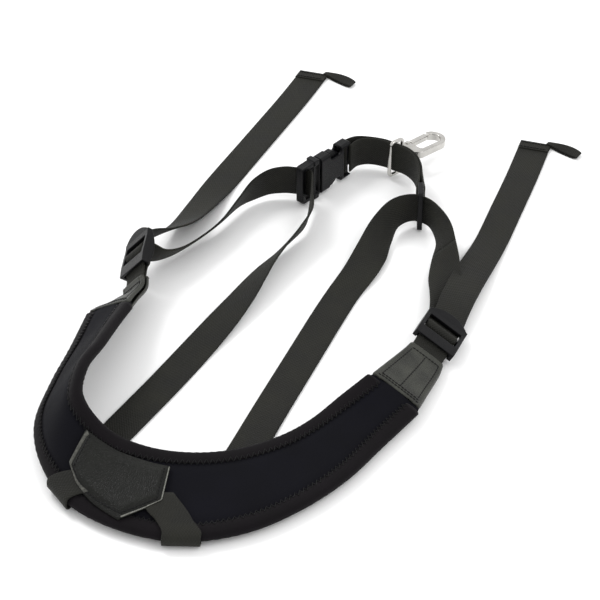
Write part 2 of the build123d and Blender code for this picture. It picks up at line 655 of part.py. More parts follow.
def hook_body():
    """Open hook: neck, cheeks for the gate, and one curved bar round to the nose."""
    x0 = hook_start()
    out = HOOK_HALF
    bar = HOOK_BAR
    nose = HOOK_L
    with BuildSketch() as hook:
        with BuildLine():
            Line((x0, -4), (x0, 4))
            Line((x0, 4), (PIVOT_X - 4, PIVOT_Y + 2.6))
            Line((PIVOT_X - 4, PIVOT_Y + 2.6), (PIVOT_X + 2.5, PIVOT_Y + 2.6))
            Line((PIVOT_X + 2.5, PIVOT_Y + 2.6), (PIVOT_X + 2.5, -out + bar + 3))
            RadiusArc((PIVOT_X + 2.5, -out + bar + 3), (PIVOT_X + 5.5, -out + bar), -3)
            Line((PIVOT_X + 5.5, -out + bar), (nose - 12, -out + bar))
            ThreePointArc((nose - 12, -out + bar), (nose - bar, -1), (nose - 9.5, 5.2))
            Line((nose - 9.5, 5.2), (nose - 8.2, 9.4))
            ThreePointArc((nose - 8.2, 9.4), (nose, -1), (nose - 12, -out))
            Line((nose - 12, -out), (PIVOT_X + 1, -out))
            Spline((PIVOT_X + 1, -out), (PIVOT_X - 4, -8), (x0, -4),
                   tangents=((-1, 0.05), (-0.7, 0.35)))
        make_face()
    body = Pos(0, 0, -HOOK_T / 2) * extrude(hook.sketch, HOOK_T)
    slot = Box(14, 12, GATE_T + 0.4)
    body -= Pos(PIVOT_X, PIVOT_Y + 1.8, 0) * slot
    body -= Pos(PIVOT_X, PIVOT_Y, 0) * Cylinder(PIN_D / 2, HOOK_T + 2)
    return hook_frame() * body


def hook_gate():
    """Sprung gate with its thumb lug, shutting against the nose."""
    tip = HOOK_L - 9.9
    rise = 7.3
    with BuildSketch() as gate:
        with BuildLine():
            Polyline((PIVOT_X, PIVOT_Y - GATE_W / 2), (tip, rise - GATE_W / 2),
                     (tip + 0.2, rise + GATE_W / 2), (PIVOT_X, PIVOT_Y + GATE_W / 2),
                     (PIVOT_X, PIVOT_Y - GATE_W / 2))
        make_face()
        with Locations((PIVOT_X, PIVOT_Y)):
            Circle(2.5)
        with Locations(Location((PIVOT_X - 2.6, PIVOT_Y + 3.6, 0), 125)):
            SlotOverall(8.5, 3.0)
    thick = Pos(0, 0, -GATE_T / 2) * extrude(gate.sketch, GATE_T)
    half_l = tip - PIVOT_X - 4.5
    cover = fillet(Box(half_l, GATE_W + 1.0, HOOK_T - 1.0).edges().filter_by(Axis.X), 1.2)
    lean = 2.2
    thick += Pos(PIVOT_X + 4.5 + half_l / 2 - 0.6, rise - 0.35, 0) * Rotation(0, 0, lean) * cover
    thick -= Pos(PIVOT_X, PIVOT_Y, 0) * Cylinder(PIN_D / 2 + PIN_CLEAR, HOOK_T)
    pocket = PIN_D / 2 + PIN_CLEAR + 0.05 + SPRING_WIRE + SPRING_CLEAR
    thick -= Pos(PIVOT_X, PIVOT_Y, 0) * Cylinder(pocket, SPRING_L + 2 * SPRING_CLEAR)
    return hook_frame() * thick


def gate_spring():
    """Coil spring round the rivet, inside the gate's hub, as a plain sleeve."""
    inner = PIN_D / 2 + PIN_CLEAR + 0.05
    coil = Cylinder(inner + SPRING_WIRE, SPRING_L) - Cylinder(inner, SPRING_L)
    return hook_frame() * Pos(PIVOT_X, PIVOT_Y, 0) * coil


def gate_pin():
    """Rivet through the cheeks and the gate."""
    shank = Cylinder(PIN_D / 2, HOOK_T)
    head = Cylinder(1.7, 0.6)
    pin = shank + Pos(0, 0, HOOK_T / 2 + 0.3) * head + Pos(0, 0, -HOOK_T / 2 - 0.3) * head
    return hook_frame() * Pos(PIVOT_X, PIVOT_Y, 0) * pin


PIECES = {
    "neck_pad": neck_pad,
    "outer_binding": lambda: binding(-1),
    "inner_binding": lambda: binding(1),
    "back_patch": back_patch,
    "left_tab_front": lambda: tab(LEFT_LOCK, PAD[0], 1),
    "left_tab_back": lambda: tab(LEFT_LOCK, PAD[0], -1),
    "right_tab_front": lambda: tab(RIGHT_LOCK, PAD[PAD_LAST], 1),
    "right_tab_back": lambda: tab(RIGHT_LOCK, PAD[PAD_LAST], -1),
    "left_anchor_webbing": lambda: anchor_webbing(LEFT_LOCK),
    "right_anchor_webbing": lambda: anchor_webbing(RIGHT_LOCK),
    "left_ladder_lock": lambda: ladder_lock(LEFT_LOCK),
    "right_ladder_lock": lambda: ladder_lock(RIGHT_LOCK),
    "left_strap": left_strap,
    "right_strap": right_strap,
    "left_pull_loop": lambda: pull_loop(LEFT_END, (11.58, -10.24), -33),
    "right_pull_loop": lambda: pull_loop(RIGHT_END, (11.58, -11.74), -28),
    "buckle_latch": buckle_latch,
    "upper_prong": lambda: latch_prong(1),
    "lower_prong": lambda: latch_prong(-1),
    "buckle_receptacle": buckle_receptacle,
    "crossbar_webbing": crossbar_webbing,
    "strap_loop": strap_loop,
    "hook_ring": hook_ring,
    "swivel_post": swivel_post,
    "hook_body": hook_body,
    "hook_gate": hook_gate,
    "gate_spring": gate_spring,
    "gate_pin": gate_pin,
}


def resting_place(shapes):
    """Move that centres the whole on the origin in plan and stands it on z = 0."""
    box = Compound(list(shapes)).bounding_box()
    middle = box.center()
    return Vector(-middle.X, -middle.Y, -box.min.Z)


if __name__ == "__main__":
    os.makedirs("parts", exist_ok=True)
    pieces = {name: make() for name, make in PIECES.items()}
    shift = resting_place(pieces.values())
    print("moved by", shift)
    for name, piece in pieces.items():
        export_step(Pos(shift) * piece, f"parts/{name}.step")
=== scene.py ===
# %% [markdown]
# # A double-shoulder harness for a saxophone
# The harness lies open on a pale surface. Its moulded and metal parts take their shapes from the frame, and
# everything that bends is made here: webbing, neoprene pad, edge trim, leather and thread. The strips are all
# made the same way, because on the real harness they are all cut from flat rolls: a short list of places, a
# smooth line through them, and a small cross-section carried along that line.

# %% Frame and the harness's own coordinates
import json
from math import cos, pi, radians, sin

import bmesh
import bpy
import numpy as np
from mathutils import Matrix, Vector


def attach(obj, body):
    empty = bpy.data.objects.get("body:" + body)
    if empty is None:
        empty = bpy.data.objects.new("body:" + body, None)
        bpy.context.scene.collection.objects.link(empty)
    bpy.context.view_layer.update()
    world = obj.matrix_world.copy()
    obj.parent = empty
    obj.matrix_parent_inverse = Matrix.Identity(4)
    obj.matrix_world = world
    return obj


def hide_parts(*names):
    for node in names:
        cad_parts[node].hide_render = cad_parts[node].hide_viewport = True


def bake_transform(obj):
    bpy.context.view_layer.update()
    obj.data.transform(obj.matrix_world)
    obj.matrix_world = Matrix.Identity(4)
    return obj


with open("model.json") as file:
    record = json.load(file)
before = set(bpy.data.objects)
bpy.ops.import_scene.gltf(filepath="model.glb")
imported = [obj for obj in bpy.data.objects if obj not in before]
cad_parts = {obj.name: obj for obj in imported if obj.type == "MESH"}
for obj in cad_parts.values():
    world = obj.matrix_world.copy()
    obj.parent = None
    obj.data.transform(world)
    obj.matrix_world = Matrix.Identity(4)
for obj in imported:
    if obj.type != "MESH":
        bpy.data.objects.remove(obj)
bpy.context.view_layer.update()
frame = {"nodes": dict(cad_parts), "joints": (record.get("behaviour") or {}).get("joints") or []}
MM = 0.001
JOINTS = {joint["name"]: joint for joint in frame["joints"]}
LOOP_AT = (92.0, 101.5, 17.0)
HOME = np.array(JOINTS["loop_pivot"]["pos_m"]) - np.array(LOOP_AT) * MM


def to_world(points):
    """Harness places in mm as row-frame metres: times a thousandth, plus the way to the frame's origin."""
    return np.asarray(points, float) * MM + HOME


def unit(vectors):
    """Each vector divided by its own length."""
    vectors = np.asarray(vectors, float)
    return vectors / np.maximum(np.linalg.norm(vectors, axis=-1, keepdims=True), 1e-12)


def run_along(points):
    """Distance run at each point of a line: the running sum of its steps."""
    return np.r_[0, np.cumsum(np.linalg.norm(np.diff(points, axis=0), axis=1))]


def between(at, stops, table):
    """Rows of a table of three columns, read in straight lines between its stops."""
    return np.stack([np.interp(at, stops, table[:, k]) for k in range(3)], -1)


def quarter_round(share):
    """Quarter circle from 0 to 1: the square root of 1 - (1 - share) squared."""
    return np.sqrt(1 - (1 - np.clip(share, 0, 1)) ** 2)


def ease(share):
    """Soft step from 0 to 1: share squared times (3 - 2 share)."""
    share = np.clip(share, 0, 1)
    return share * share * (3 - 2 * share)


print("frame", len(frame["nodes"]), "nodes, home", HOME.round(4))

# %% [markdown]
# ## Camera
# The view is from 38 degrees above the surface with a long lens, as in a catalogue, so that near and far
# webbing look nearly the same width. Everything is checked through this camera, so it comes first.

# %% Camera
def new_object(name, data):
    """Object with its data, linked into the scene."""
    thing = bpy.data.objects.new(name, data)
    bpy.context.scene.collection.objects.link(thing)
    return thing


VIEW_HEIGHT = radians(38)
VIEW_DISTANCE = 1.462
camera_data = bpy.data.cameras.new("view")
camera_data.lens = 120
camera_data.sensor_width = 36
camera = new_object("view", camera_data)
camera.location = HOME + VIEW_DISTANCE * np.array((0, -cos(VIEW_HEIGHT), sin(VIEW_HEIGHT)))
camera.rotation_euler = (pi / 2 - VIEW_HEIGHT, 0, 0)
bpy.context.scene.camera = camera
print("camera at", [round(v, 3) for v in camera.location])

# %% [markdown]
# ## Meshes from grids
# Nearly every soft piece is a grid of points: rows follow the piece, columns go round its section. A curve
# with a bevel could make the straps, but not the pad or the leather, so one helper serves all of them. It
# closes such a grid, turns its faces outwards by the sign of its volume, and lays out a UV map in metres, so
# that a weave keeps its real size wherever the strap goes.


# %% Grid to mesh
def signed_volume(points, faces):
    """Volume by the divergence rule: a sixth of the sum of triple products of each face's fan triangles."""
    a, b, c, d = (points[faces[:, k]] for k in range(4))
    first = np.einsum("ij,ij->i", a, np.cross(b, c))
    second = np.einsum("ij,ij->i", a, np.cross(c, d))
    return (first.sum() + second.sum()) / 6


def tube_mesh(name, rings, along=None):
    """Closed mesh of a grid (rings, points in a ring, 3) in metres, with a face on each end.

    The UV map holds metres round the ring and metres along the piece.
    """
    count, sides, _ = rings.shape
    points = rings.reshape(-1, 3)
    i, j = np.indices((count - 1, sides))
    k = (j + 1) % sides
    low, high = i * sides, (i + 1) * sides
    faces = np.stack([low + j, low + k, high + k, high + j], -1).reshape(-1, 4)
    if along is None:
        along = run_along(rings.mean(1))
    middle_ring = rings[count // 2]
    around = run_along(np.concatenate([middle_ring, middle_ring[:1]]))
    corners_u = np.stack([around[j], around[j + 1], around[j + 1], around[j]], -1).reshape(-1, 4)
    corners_v = np.stack([along[i], along[i], along[i + 1], along[i + 1]], -1).reshape(-1, 4)
    low_cap = list(range(sides))[::-1]
    high_cap = [(count - 1) * sides + n for n in range(sides)]
    if signed_volume(points, faces) < 0:
        faces, corners_u, corners_v = faces[:, ::-1], corners_u[:, ::-1], corners_v[:, ::-1]
        low_cap, high_cap = low_cap[::-1], high_cap[::-1]
    mesh = bpy.data.meshes.new(name)
    mesh.from_pydata(points.tolist(), [], faces.tolist() + [low_cap, high_cap])
    uv = np.zeros((len(faces) * 4 + 2 * sides, 2))
    uv[: len(faces) * 4, 0] = corners_u.ravel()
    uv[: len(faces) * 4, 1] = corners_v.ravel()
    mesh.uv_layers.new(name="cloth").data.foreach_set("uv", uv.ravel())
    mesh.polygons.foreach_set("use_smooth", np.r_[np.ones(len(faces), bool), False, False])
    mesh.validate()
    mesh.update()
    return mesh


def piece(name, mesh, material, body, slot, *stands_for):
    """Object for a finished mesh, riding on a body, in place of the named frame nodes."""
    thing = new_object(name, mesh)
    mesh.materials.append(material)
    if body:
        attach(thing, body)
    if stands_for:
        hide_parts(*stands_for)
    return thing


def grid_piece(name, rings, material, slot, *stands_for):
    """Piece of the harness itself, made from a grid of rings."""
    return piece(name, tube_mesh(name, rings), material, "harness", slot, *stands_for)


print("mesh helpers ready")

# %% [markdown]
# ## A strip through places
# A strap is a list of its two edges at a few places. Between them both edges follow a centripetal
# Catmull-Rom curve, which never loops at short steps. The strip's own normal is its travel crossed with its
# width, so the webbing may lie flat, stand on edge or turn over.


# %% Smooth strips
SHORTEST_REACH = 0.5


def smooth(pairs, steps):
    """Edge pairs on a smooth curve: knots at the square root of the reach, Hermite spans between them."""
    pairs = np.asarray(pairs, float)
    reach = np.maximum(np.linalg.norm(np.diff(pairs, axis=0), axis=-1).max(1), SHORTEST_REACH)
    gaps = np.sqrt(reach)
    chords = np.diff(pairs, axis=0) / gaps[:, None, None]
    share = (gaps[:-1] / (gaps[:-1] + gaps[1:]))[:, None, None]
    inner = chords[:-1] * (1 - share) + chords[1:] * share
    slopes = np.concatenate([chords[:1], inner, chords[-1:]])
    t = (np.arange(steps) / steps)[None, :, None, None]
    span = gaps[:, None, None, None]
    curve = (2 * t**3 - 3 * t**2 + 1) * pairs[:-1, None] + (t**3 - 2 * t**2 + t) * span * slopes[:-1, None]
    curve = curve + (3 * t**2 - 2 * t**3) * pairs[1:, None] + (t**3 - t**2) * span * slopes[1:, None]
    return np.concatenate([curve.reshape(-1, 2, 3), pairs[-1:]])


def travel_of(line):
    """Travel at each point of a line: the next point less the one before."""
    return np.concatenate([line[1:], line[-1:]]) - np.concatenate([line[:1], line[:-1]])


def normals_of(pairs):
    """Unit normal at each pair: travel of the middle line crossed with the width."""
    return unit(np.cross(travel_of(pairs.mean(1)), pairs[:, 1] - pairs[:, 0]))


def carry(pairs, outline):
    """Rings of a section: a strip's middle, plus its width and its normal times the section's two values."""
    outline = np.asarray(outline, float)
    if outline.ndim == 2:
        outline = np.broadcast_to(outline, (len(pairs),) + outline.shape)
    sideways = unit(pairs[:, 1] - pairs[:, 0])[:, None] * outline[..., :1]
    upwards = normals_of(pairs)[:, None] * outline[..., 1:]
    return to_world(pairs.mean(1)[:, None] + sideways + upwards)


def middle_length(pairs):
    """Length in metres of a strip's middle line."""
    return float(run_along(pairs.mean(1))[-1]) * MM


print("a bend of 3 places becomes", len(smooth(np.arange(18).reshape(3, 2, 3), 6)), "pairs")

# %% Webbing section
WEB_W, WEB_T = 25.0, 1.4
HALF = WEB_W / 2
SELVEDGE = 0.05


def webbing_section(width=WEB_W, thickness=WEB_T):
    """Flat woven section: two faces, 5% thicker at the selvedge, and half-round edges."""
    radius = thickness / 2
    across = np.linspace(-1, 1, 9) * (width / 2 - radius)
    swell = radius * (1 + SELVEDGE * np.abs(across / across.max()) ** 6)
    turn = np.linspace(-pi / 2, pi / 2, 5)[1:-1]
    right = np.stack([across[-1] + radius * np.cos(turn), radius * np.sin(turn)], 1)
    top = np.stack([across[::-1], swell], 1)
    left = np.stack([across[0] - radius * np.cos(turn), -radius * np.sin(turn)], 1)
    bottom = np.stack([across, -swell], 1)
    return np.concatenate([bottom, right, top, left])


def pair_up(middles, across):
    """Edge pairs: each middle place less its across, and plus it."""
    return np.stack([middles - across, middles + across], -2)


def webs(*places):
    """Edge pairs of a strap, each given by its middle place and the direction of its width."""
    middles, widths = np.split(np.array(places, float), 2, axis=1)
    return [*pair_up(middles, unit(widths) * HALF)]


print("webbing section has", len(webbing_section()), "points")

# %% [markdown]
# ## Surface effects
# Three effects return on several finishes: woven threads, a soft grain and a slow mottling. Each is a node
# group that only gives out a height or a mask, and each material places it with its own size.


# %% Node group helpers
def new_group(name, inputs, output):
    """Shader node group: inputs as name and default, None for a vector, and one float output."""
    group = bpy.data.node_groups.new(name, "ShaderNodeTree")
    for title, default in inputs.items():
        kind = "NodeSocketVector" if default is None else "NodeSocketFloat"
        socket = group.interface.new_socket(name=title, in_out="INPUT", socket_type=kind)
        if default is not None:
            socket.default_value = default
    group.interface.new_socket(name=output, in_out="OUTPUT", socket_type="NodeSocketFloat")
    return group, group.nodes.new("NodeGroupInput"), group.nodes.new("NodeGroupOutput")


def add(tree, kind, operation=None, **values):
    """Node with its operation and its input values set by name."""
    node = tree.nodes.new("ShaderNode" + kind)
    if operation:
        node.operation = operation
    for key, value in values.items():
        node.inputs[key.replace("_", " ")].default_value = value
    return node


def link(tree, source, target):
    """Wire from an output socket to an input socket."""
    tree.links.new(source, target)


def math_of(tree, operation, first, second):
    """Math node on two values, each a socket or a number; gives its result socket."""
    node = add(tree, "Math", operation)
    for socket, value in zip(node.inputs, (first, second)):
        if isinstance(value, (int, float)):
            socket.default_value = value
        else:
            link(tree, value, socket)
    return node.outputs[0]


print("node helpers ready")

# %% [markdown]
# Plain weave goes over and under: one sine across the threads times one along them gives a chequer of small
# domes. A fine noise on top stands for the fibres, and keeps the rows from looking printed.

# %% Weave group
DOME_SHARE, FIBRE_SHARE, FIBRE_SCALE = 0.4, 0.2, 2600.0


def weave_group():
    """Height = 0.4 + 0.4 sin(pi x / across) sin(pi y / along) + 0.2 noise."""
    inputs = {"Cloth": None, "Across": 0.0011, "Along": 0.0014}
    tree, given, out = new_group("woven_threads", inputs, "Height")
    split = add(tree, "SeparateXYZ")
    link(tree, given.outputs["Cloth"], split.inputs[0])
    waves = []
    for axis, pitch in (("X", "Across"), ("Y", "Along")):
        phase = math_of(tree, "DIVIDE", split.outputs[axis], given.outputs[pitch])
        waves.append(math_of(tree, "SINE", math_of(tree, "MULTIPLY", phase, pi), 0))
    domes = math_of(tree, "MULTIPLY", waves[0], waves[1])
    fine = add(tree, "TexNoise", Scale=FIBRE_SCALE, Detail=1.0)
    link(tree, given.outputs["Cloth"], fine.inputs["Vector"])
    height = math_of(tree, "ADD", math_of(tree, "MULTIPLY", domes, DOME_SHARE), DOME_SHARE)
    fibres = math_of(tree, "MULTIPLY", fine.outputs[0], FIBRE_SHARE)
    link(tree, math_of(tree, "ADD", height, fibres), out.inputs["Height"])
    return tree


WEAVE = weave_group()
print("effect:", WEAVE.name)


# %% Grain and mottle groups
def grain_group():
    """Height of a skin: 3 times the distance to the nearest cell edge, at most 1, plus half a noise."""
    tree, given, out = new_group("skin_grain", {"Place": None, "Scale": 700.0}, "Height")
    cells = add(tree, "TexVoronoi")
    cells.feature = "DISTANCE_TO_EDGE"
    noise = add(tree, "TexNoise", Detail=3.0)
    for node in (cells, noise):
        link(tree, given.outputs["Place"], node.inputs["Vector"])
        link(tree, given.outputs["Scale"], node.inputs["Scale"])
    flat = math_of(tree, "MINIMUM", math_of(tree, "MULTIPLY", cells.outputs["Distance"], 3.0), 1.0)
    rough = math_of(tree, "MULTIPLY", noise.outputs[0], 0.5)
    link(tree, math_of(tree, "ADD", flat, rough), out.inputs["Height"])
    return tree


def mottle_group():
    """Mask that changes slowly: 0.5 plus the contrast times (noise - 0.5), kept from 0 to 1."""
    tree, given, out = new_group("slow_mottle", {"Place": None, "Scale": 30.0, "Contrast": 2.0}, "Mask")
    noise = add(tree, "TexNoise", Detail=4.0)
    link(tree, given.outputs["Place"], noise.inputs["Vector"])
    link(tree, given.outputs["Scale"], noise.inputs["Scale"])
    centred = math_of(tree, "SUBTRACT", noise.outputs[0], 0.5)
    wide = math_of(tree, "MULTIPLY", centred, given.outputs["Contrast"])
    shifted = math_of(tree, "ADD", wide, 0.5)
    shifted.node.use_clamp = True
    link(tree, shifted, out.inputs["Mask"])
    return tree


GRAIN, MOTTLE = grain_group(), mottle_group()
print("effects:", GRAIN.name, MOTTLE.name)

# %% [markdown]
# ## Finishes
# A finish is one Principled shader with two colours mixed by the slow mottling, a roughness that follows it,
# and a bump from the weave or the grain. Cloth reads its UV map, so its threads follow the strap. Leather,
# plastic and metal read Object coordinates.


# %% Finish builder
def shade(hex_code):
    """Linear colour of a six-digit screen colour: a 2.4 power law on each channel, straight when dark."""
    values = [int(hex_code[n:n + 2], 16) / 255 for n in (0, 2, 4)]
    return [((v + 0.055) / 1.055) ** 2.4 if v > 0.04045 else v / 12.92 for v in values]


def finish(name, dark, light, rough, shine, relief=None, depth=0.0, mottle=30.0, **constants):
    """Material: colour and roughness between two values by the mottle mask, bump from one effect's height."""
    material = bpy.data.materials.new(name)
    material.use_nodes = True
    tree = material.node_tree
    shader = tree.nodes["Principled BSDF"]
    shader.inputs["Specular IOR Level"].default_value = shine
    for key, value in constants.items():
        shader.inputs[key.replace("_", " ")].default_value = value
    place = add(tree, "TexCoord")
    mask = add(tree, "Group")
    mask.node_tree = MOTTLE
    mask.inputs["Scale"].default_value = mottle
    link(tree, place.outputs["Object"], mask.inputs["Place"])
    colour = add(tree, "Mix")
    colour.data_type = "RGBA"
    factor_in, first_colour, second_colour, colour_out = 0, 6, 7, 2
    colour.inputs[first_colour].default_value = (*shade(dark), 1)
    colour.inputs[second_colour].default_value = (*shade(light), 1)
    link(tree, mask.outputs["Mask"], colour.inputs[factor_in])
    link(tree, colour.outputs[colour_out], shader.inputs["Base Color"])
    spread = add(tree, "MapRange", To_Min=rough[0], To_Max=rough[1])
    link(tree, mask.outputs["Mask"], spread.inputs["Value"])
    link(tree, spread.outputs["Result"], shader.inputs["Roughness"])
    if relief:
        effect = add(tree, "Group")
        effect.node_tree, *values = relief
        for socket, value in zip(effect.inputs[1:], values):
            socket.default_value = value
        link(tree, place.outputs["UV" if effect.node_tree == WEAVE else "Object"], effect.inputs[0])
        bump = add(tree, "Bump", Distance=depth)
        link(tree, effect.outputs["Height"], bump.inputs["Height"])
        link(tree, bump.outputs["Normal"], shader.inputs["Normal"])
    return material


print("finish builder ready")

# %% Cloth, leather, plastic and metal
WEBBING = finish("webbing_weave", "181816", "24241f", (0.62, 0.8), 0.16, (WEAVE, 0.0010, 0.0013),
                 depth=0.00045, mottle=45.0, Sheen_Weight=0.02)
NEOPRENE = finish("neoprene_knit", "09090d", "0f0f15", (0.85, 0.95), 0.07, (WEAVE, 0.0006, 0.0007),
                  depth=0.00008, mottle=25.0, Sheen_Weight=0.02)
BINDING = finish("edge_trim", "0b090b", "131013", (0.7, 0.85), 0.07, (WEAVE, 0.0006, 0.0006),
                 depth=0.00012, mottle=60.0, Sheen_Weight=0.03)
LEATHER = finish("tab_leather", "1c1d19", "373832", (0.3, 0.48), 0.27, (GRAIN, 900.0), 0.00014, 75.0)
PATCH_SKIN = finish("patch_leather", "060705", "10110d", (0.3, 0.46), 0.16, (GRAIN, 800.0), 0.00014, 45.0)
RAW_EDGE = finish("cut_edge", "454541", "6a6a64", (0.8, 0.9), 0.2, (GRAIN, 1800.0), 0.0004, 500.0)
CUT_LINE = finish("cut_line", "6e6e68", "8c8c86", (0.7, 0.8), 0.2, (GRAIN, 1800.0), 0.0002, 500.0)
PLASTIC = finish("moulded_plastic", "08080a", "0e0e10", (0.26, 0.38), 0.15, (GRAIN, 2500.0), 0.00003, 50.0)
NICKEL = finish("polished_nickel", "b2b0ac", "c9c7c3", (0.1, 0.2), 0.5, (GRAIN, 1500.0),
                depth=0.00001, mottle=120.0, Metallic=1.0)
STEEL = finish("spring_wire", "8f8f8f", "a5a5a5", (0.25, 0.35), 0.5, mottle=200.0, Metallic=1.0)
THREAD = finish("black_thread", "050506", "0b0b0d", (0.45, 0.6), 0.2, (GRAIN, 4000.0), 0.0001, 400.0)
print("finishes:", len(bpy.data.materials))

# %% [markdown]
# ## The pad's shape
# The pad is a crescent of knit-faced foam that stands up on its outer edge. It is given as thirteen edge
# pairs, outer edge first. Everything sewn on it is placed by a station along it and millimetres in from the
# outer edge, so trim, thread, patch and straps all follow the same curve.

# %% Pad stations
PAD = [
    ((-151, -27, 6.5), (-119, -47, 33)),
    ((-160, -67, 6), (-127, -75, 39)),
    ((-170, -106, 6), (-134, -103, 45)),
    ((-176, -147, 6), (-143, -131, 49)),
    ((-167, -186, 6), (-144, -158, 44)),
    ((-148, -219, 6), (-126, -175, 28)),
    ((-114, -242, 6), (-100, -183, 19)),
    ((-75, -252, 6), (-70, -183, 13.5)),
    ((-34, -244, 6), (-40, -178, 12.5)),
    ((1, -223, 6), (-13, -165, 12)),
    ((30, -196, 6), (8, -148, 12)),
    ((55, -163, 6), (28, -129, 16.5)),
    ((80, -130, 6), (48, -112, 22.5)),
]
PAD_STEPS = 8
PAD_LINE = smooth(PAD, PAD_STEPS)
PAD_NORMALS = normals_of(PAD_LINE)
PAD_ROWS = np.arange(len(PAD_LINE)) / PAD_STEPS
PAD_LAST = len(PAD) - 1


def on_pad(u, across, lift):
    """Place on the pad: outer edge at station u, plus mm towards the inner edge, plus mm along the normal."""
    u, across, lift = np.broadcast_arrays(*(np.asarray(v, float) for v in (u, across, lift)))
    outer, inner = between(u, PAD_ROWS, PAD_LINE[:, 0]), between(u, PAD_ROWS, PAD_LINE[:, 1])
    normal = unit(between(u, PAD_ROWS, PAD_NORMALS))
    return outer + unit(inner - outer) * across[..., None] + normal * lift[..., None]


def pad_width(u):
    """Distance between the two edges at station u."""
    edge_gap = np.linalg.norm(PAD_LINE[:, 1] - PAD_LINE[:, 0], axis=1)
    return np.interp(u, PAD_ROWS, edge_gap)


print("pad is", pad_width(0).round(1), "to", pad_width(np.arange(13)).max().round(1), "mm across")

# %% Adjuster places
LEFT_LOCK = ((-120.6, 5.5, 20), (0.56, -0.31, 0.77), (0.067, 0.94, 0.33))
RIGHT_LOCK = ((91.9, -71.1, 13.5), (0.80, -0.37, -0.47), (0.42, 0.91, 0.0))


def axes_of(lock):
    """Origin, across, along and face direction of an adjuster, made square to each other."""
    origin, across, along = (np.array(v, float) for v in lock)
    across = unit(across)
    face = unit(np.cross(across, along))
    return origin, across, np.cross(face, across), face


def in_lock(lock, x, y, z):
    """Place inside an adjuster: origin plus x across, y along and z off its face."""
    origin, across, along, face = axes_of(lock)
    return origin + across * x + along * y + face * z


def lock_pair(lock, half, y, z):
    """Edge pair inside an adjuster: half a width to each side of a place along it and off its face."""
    return np.stack([in_lock(lock, side * half, y, z) for side in (-1, 1)])


print("left adjuster faces", axes_of(LEFT_LOCK)[3].round(2), "right", axes_of(RIGHT_LOCK)[3].round(2))

# %% [markdown]
# ## Tabs
# Each end of the pad is held between two leather leaves that narrow towards the adjuster. They come close at
# their sewn sides and part in the middle, where the pad's end and the folded webbing lie. A flat sheet with
# Solidify would have a square rim, so each leaf is worked out with its own rounded, rolled-up rim.

# %% Tab frames
TAB_END_Y, TAB_STRAIGHT, TAB_NARROW, TAB_FLARE = -7.0, 9.0, 28.0, 1.5
BAR_Z, TAB_T, TAB_INSERT = -2.6, 1.6, 10.0


def tab_rows(lock, pair):
    """Edge pairs of a tab from the pad to the adjuster, low side first."""
    wide = np.array(pair, float)
    if lock is RIGHT_LOCK:
        wide = wide[::-1]
    half = TAB_NARROW / 2
    near = lock_pair(lock, half + TAB_FLARE, TAB_END_Y - TAB_STRAIGHT, BAR_Z)
    end = lock_pair(lock, half, TAB_END_Y, BAR_Z)
    length = np.linalg.norm(near.mean(0) - wide.mean(0))
    tucked = wide + (near - wide) * 1.3 * TAB_INSERT / length
    return smooth(np.array([wide, tucked, near, end]), 10)


TABS = {"left": tab_rows(LEFT_LOCK, PAD[0]), "right": tab_rows(RIGHT_LOCK, PAD[-1])}


def tab_place(side, s, t, lift):
    """Place on a tab: s from 0 at the pad to 1 at the adjuster, t from -1 to 1 across, mm off the middle."""
    rows = TABS[side]
    s, t, lift = np.broadcast_arrays(*(np.asarray(v, float) for v in (s, t, lift)))
    row = np.linspace(0, 1, len(rows))
    low, high = between(s, row, rows[:, 0]), between(s, row, rows[:, 1])
    normal = -unit(between(s, row, normals_of(rows)))
    return (low + high) / 2 + (high - low) / 2 * t[..., None] + normal * lift[..., None]


for side, rows in TABS.items():
    print(side, "tab is", round(middle_length(rows), 3), "m long")

# %% Tab leaves
TAB_CROWN, TAB_DROP, TAB_PINCH = 4.4, 0.9, 0.42
TAB_CORNER, SHEET_EDGE = 0.045, 0.05


def bell(values, centre, spread):
    """Bell curve: e to minus the square of the distance from the centre over the spread."""
    return np.exp(-((values - centre) / spread) ** 2)


def tab_height(s, t):
    """Outer face above the middle: a spine pinched at its sides, plus a rolled rim, less a groove."""
    side = np.abs(t)
    spine = TAB_CROWN - TAB_DROP * np.clip(s * 1.4, 0, 1)
    rim = 0.5 * bell(side, 0.9, 0.05) + 0.45 * bell(s, 0.955, 0.03)
    groove = 0.35 * bell(side, 0.76, 0.035)
    return spine * (1 - TAB_PINCH * side ** 6) + rim - groove


def tab_leaf(side, facing):
    """Rings of a leaf; its half width shrinks by up to a tenth near each end, on a quarter circle."""
    s = np.concatenate([[0, 0.006, 0.02, 0.05], np.linspace(0.1, 0.9, 30), [0.95, 0.98, 0.994, 1]])
    t = np.sin(np.linspace(-pi / 2, pi / 2, 41))
    ends = np.minimum(s / TAB_CORNER, (1 - s) / TAB_CORNER)
    shrink = 1 - 0.1 * (1 - quarter_round(ends))
    grid_s, grid_t = np.meshgrid(s, t, indexing="ij")
    wide_t = grid_t * shrink[:, None]
    edge = np.minimum((1 - np.abs(grid_t)) / 0.05, ends[:, None] * 3)
    half = TAB_T / 2 * quarter_round(edge) + SHEET_EDGE
    middle = tab_height(grid_s, grid_t) - TAB_T / 2
    top = tab_place(side, grid_s, wide_t, facing * (middle + half))
    under = tab_place(side, grid_s, wide_t, facing * (middle - half))
    return to_world(np.concatenate([top, under[:, ::-1]], 1))


for side in TABS:
    for facing, word in ((1, "front"), (-1, "back")):
        rings = tab_leaf(side, facing)
        leaf = grid_piece(f"{side}_leather_{word}", rings, LEATHER, "leather", f"{side}_tab_{word}")
        print(leaf.name, len(leaf.data.polygons), "faces")

# %% [markdown]
# ## Neoprene pad and its trim
# The foam is a little thicker in the middle than under its trim, so its section is a flat lens that eases up
# past each trim edge. Thin foam with sewn edges barely puffs, so its crown is a formula, not a simulation.
# The trim is a folded tape: a C round each edge, puffed because the foam pushes it out.

